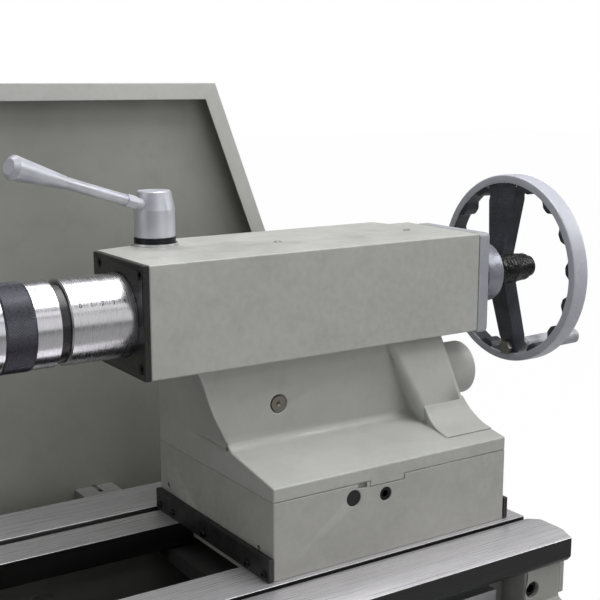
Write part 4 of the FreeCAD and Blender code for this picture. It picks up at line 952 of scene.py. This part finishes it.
wheel = grown("hand_wheel", bpy.data.meshes.new("hand_wheel"), rim_tree(), rim_silver, Near=rim_near,
              Depth=rim_depth, Radius=wheel_radius, Width=rim_width, Grip_Height=grip_height,
              Set_Back=grip_set_back, Turn=wheel_turn, Axis_Z=wheel_z, Grips=grip_count, Round=420,
              Section=48)
arms_shape = bmesh.new()
spoke(arms_shape, 0.019, 0.044, 1, 0.009)
spoke(arms_shape, 0.025, 0.020, -1, 0.005)
bmesh.ops.transform(arms_shape,
                    matrix=Matrix.Translation((0, 0, wheel_z)) @ Matrix.Rotation(-wheel_turn, 4, "X"),
                    verts=arms_shape.verts)
bmesh.ops.recalc_face_normals(arms_shape, faces=arms_shape.faces)
arms_mesh = stored(arms_shape, bpy.data.meshes.new("wheel_arms"))
whole_wheel = opened(wheel.data, arms_mesh)
bmesh.ops.recalc_face_normals(whole_wheel, faces=whole_wheel.faces)
stored(whole_wheel, wheel.data)
smoothed(wheel.data, 50)
rim_inside = wheel_radius - rim_width + 0.0004


def wheel_face(centre, normal):
    """Silver on the rim and black on everything inside it."""
    return 0 if math.hypot(centre.y, centre.z - wheel_z) > rim_inside else 1


finished(wheel, rim_silver, wheel_black, choose=wheel_face)
hub_profile = [(wheel_low.x + 0.0002, 0.0192), (rim_near + 0.004, 0.0192), (rim_near + 0.013, 0.0152),
               (wheel_high.x - 0.003, 0.0145), (wheel_high.x - 0.0006, 0.0118)]
hub = cast_knob("wheel_hub", hub_profile, wheel_z, knob_black)
for part in (wheel, hub):
    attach(part, "handwheel")
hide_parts("handwheel")
coat(knob_black, "wheel_nut")
shank_steel = machined("dirty_zinc", (0.26, 0.25, 0.23), 0.42, (1, 1, 1), fine=260.0, spots=0.85)
coat(shank_steel, "crank_shank")
grip_grey = rubber("grip_grey", (0.3, 0.31, 0.34), 0.35)
coat(grip_grey, "crank_grip")


# ---- Quill lock ----
# A satin-chromed lever on a turned hub screws a stud that draws two shoes on to the quill.
# A black collar lies under the hub, and a bright ring let into the casting under that.
satin = satin_metal("satin_chrome", (0.6, 0.61, 0.67), 0.4, metallic=0.5)
coat(satin, "lever_hub", "lever_rod", "lever_grip")
coat(oxide, "lock_collar")
coat(rod_steel, "lock_stud")
coat(bronze, "upper_shoe", "lower_shoe")


# ---- Bed clamp ----
# An eccentric shaft through the neck lifts a draw bolt and its plate against the bed from below.
# Its lever lies behind the casting, and ends in a black ball.
shaft_steel = machined("shaft_steel", (0.26, 0.24, 0.21), 0.42, (0.03, 1, 0.03), fine=1500.0, spots=0.6)
ball_black = rubber("ball_black", (0.014, 0.014, 0.014), 0.2)
forged = enamel("forged_black", (0.04, 0.04, 0.04), 0.45, lumps=0.0004)
coat(shaft_steel, "eccentric_shaft", "clamp_lever")
coat(ball_black, "clamp_knob")
coat(forged, "draw_bolt", "clamp_plate", "clamp_nut")


# ---- Floor, lights and camera ----
# A plain pale floor under a white room, lit by long soft boxes overhead and a broad one in front.
# The camera stands before the quill, a little above it.
floor_mesh = bpy.data.meshes.new("floor")
reach = 12.0
floor_grey, floor_glow, glow_share = 0.5, 1.01, 0.98
room_fill, room_shine = 0.12, 0.3
floor_mesh.from_pydata([(-reach, -reach, 0), (reach, -reach, 0), (reach, reach, 0), (-reach, reach, 0)],
                       [], [(0, 1, 2, 3)])
floor = in_scene("floor", floor_mesh)
floor_finish, floor_tree, floor_shader = bare_finish("floor_white", 0.0, 0.6)
floor_shader.inputs["Base Color"].default_value = (floor_grey, floor_grey, floor_grey, 1)
glow = put(floor_tree, "ShaderNodeEmission", {"Color": (1, 1, 1, 1), "Strength": floor_glow})
looked_at = add(floor_tree, "ShaderNodeLightPath").outputs["Is Camera Ray"]
share = put(floor_tree, "ShaderNodeMath", {0: looked_at, 1: glow_share}, operation="MULTIPLY")
pale = put(floor_tree, "ShaderNodeMixShader", {0: share, 1: floor_shader.outputs[0], 2: glow})
floor_tree.links.new(pale, floor_tree.nodes["Material Output"].inputs["Surface"])
floor_mesh.materials.append(floor_finish)

world = bpy.data.worlds.new("room")
world.use_nodes = True
scene.world = world
room = world.node_tree
sky = room.nodes["Background"]
sky.inputs["Color"].default_value = (1, 1, 1, 1)
path = add(room, "ShaderNodeLightPath").outputs
strength = mapped(room, path["Is Glossy Ray"], 0.0, 1.0, room_fill, room_shine)
room.links.new(strength, sky.inputs["Strength"])
white = add(room, "ShaderNodeBackground", {"Color": (1, 1, 1, 1), "Strength": 1.0})
both = add(room, "ShaderNodeMixShader", {0: path["Is Camera Ray"], 1: sky.outputs[0],
                                         2: white.outputs[0]})
room.links.new(both.outputs[0], room.nodes["World Output"].inputs["Surface"])


middle, wheel_middle = (0.1, 0.0, 0.45), (0.45, 0.0, 0.53)
for name, place, target, width, height, power in (
        ("top_box", (0.5, 0.1, 2.3), middle, 2.6, 0.9, 41),
        ("front_strip", (0.4, -0.75, 2.1), middle, 2.6, 0.5, 7),
        ("low_strip", (0.3, -1.5, 1.6), middle, 2.4, 0.35, 3.5),
        ("front_fill", (0.6, -2.2, 0.9), middle, 1.6, 1.2, 5),
        ("wheel_light", (1.9, -0.6, 1.4), wheel_middle, 0.8, 0.8, 8),
        ("left_fill", (-2.2, 0.1, 1.0), middle, 1.2, 1.2, 5)):
    light = bpy.data.lights.new(name, "AREA")
    light.shape, light.size, light.size_y, light.energy = "RECTANGLE", width, height, power
    lamp = in_scene(name, light)
    lamp.location = place
    lamp.rotation_euler = (Vector(target) - Vector(place)).to_track_quat("-Z", "Y").to_euler()

eye = Vector((-0.4111, -0.9080, 0.7338))
ahead = Vector((0.54151, 0.81928, -0.18857)).normalized()
upward = Vector((0.10366, 0.15752, 0.98206))
right = ahead.cross(upward).normalized()
upward = right.cross(ahead)
lens = bpy.data.cameras.new("camera")
lens.lens, lens.sensor_width, lens.sensor_fit = 68.77, 36.0, "HORIZONTAL"
lens.clip_start, lens.clip_end = 0.02, 50.0
camera = in_scene("camera", lens)
camera.matrix_world = Matrix.Translation(eye) @ Matrix((right, upward, -ahead)).transposed().to_4x4()
scene.camera = camera
scene.view_settings.view_transform = "Standard"
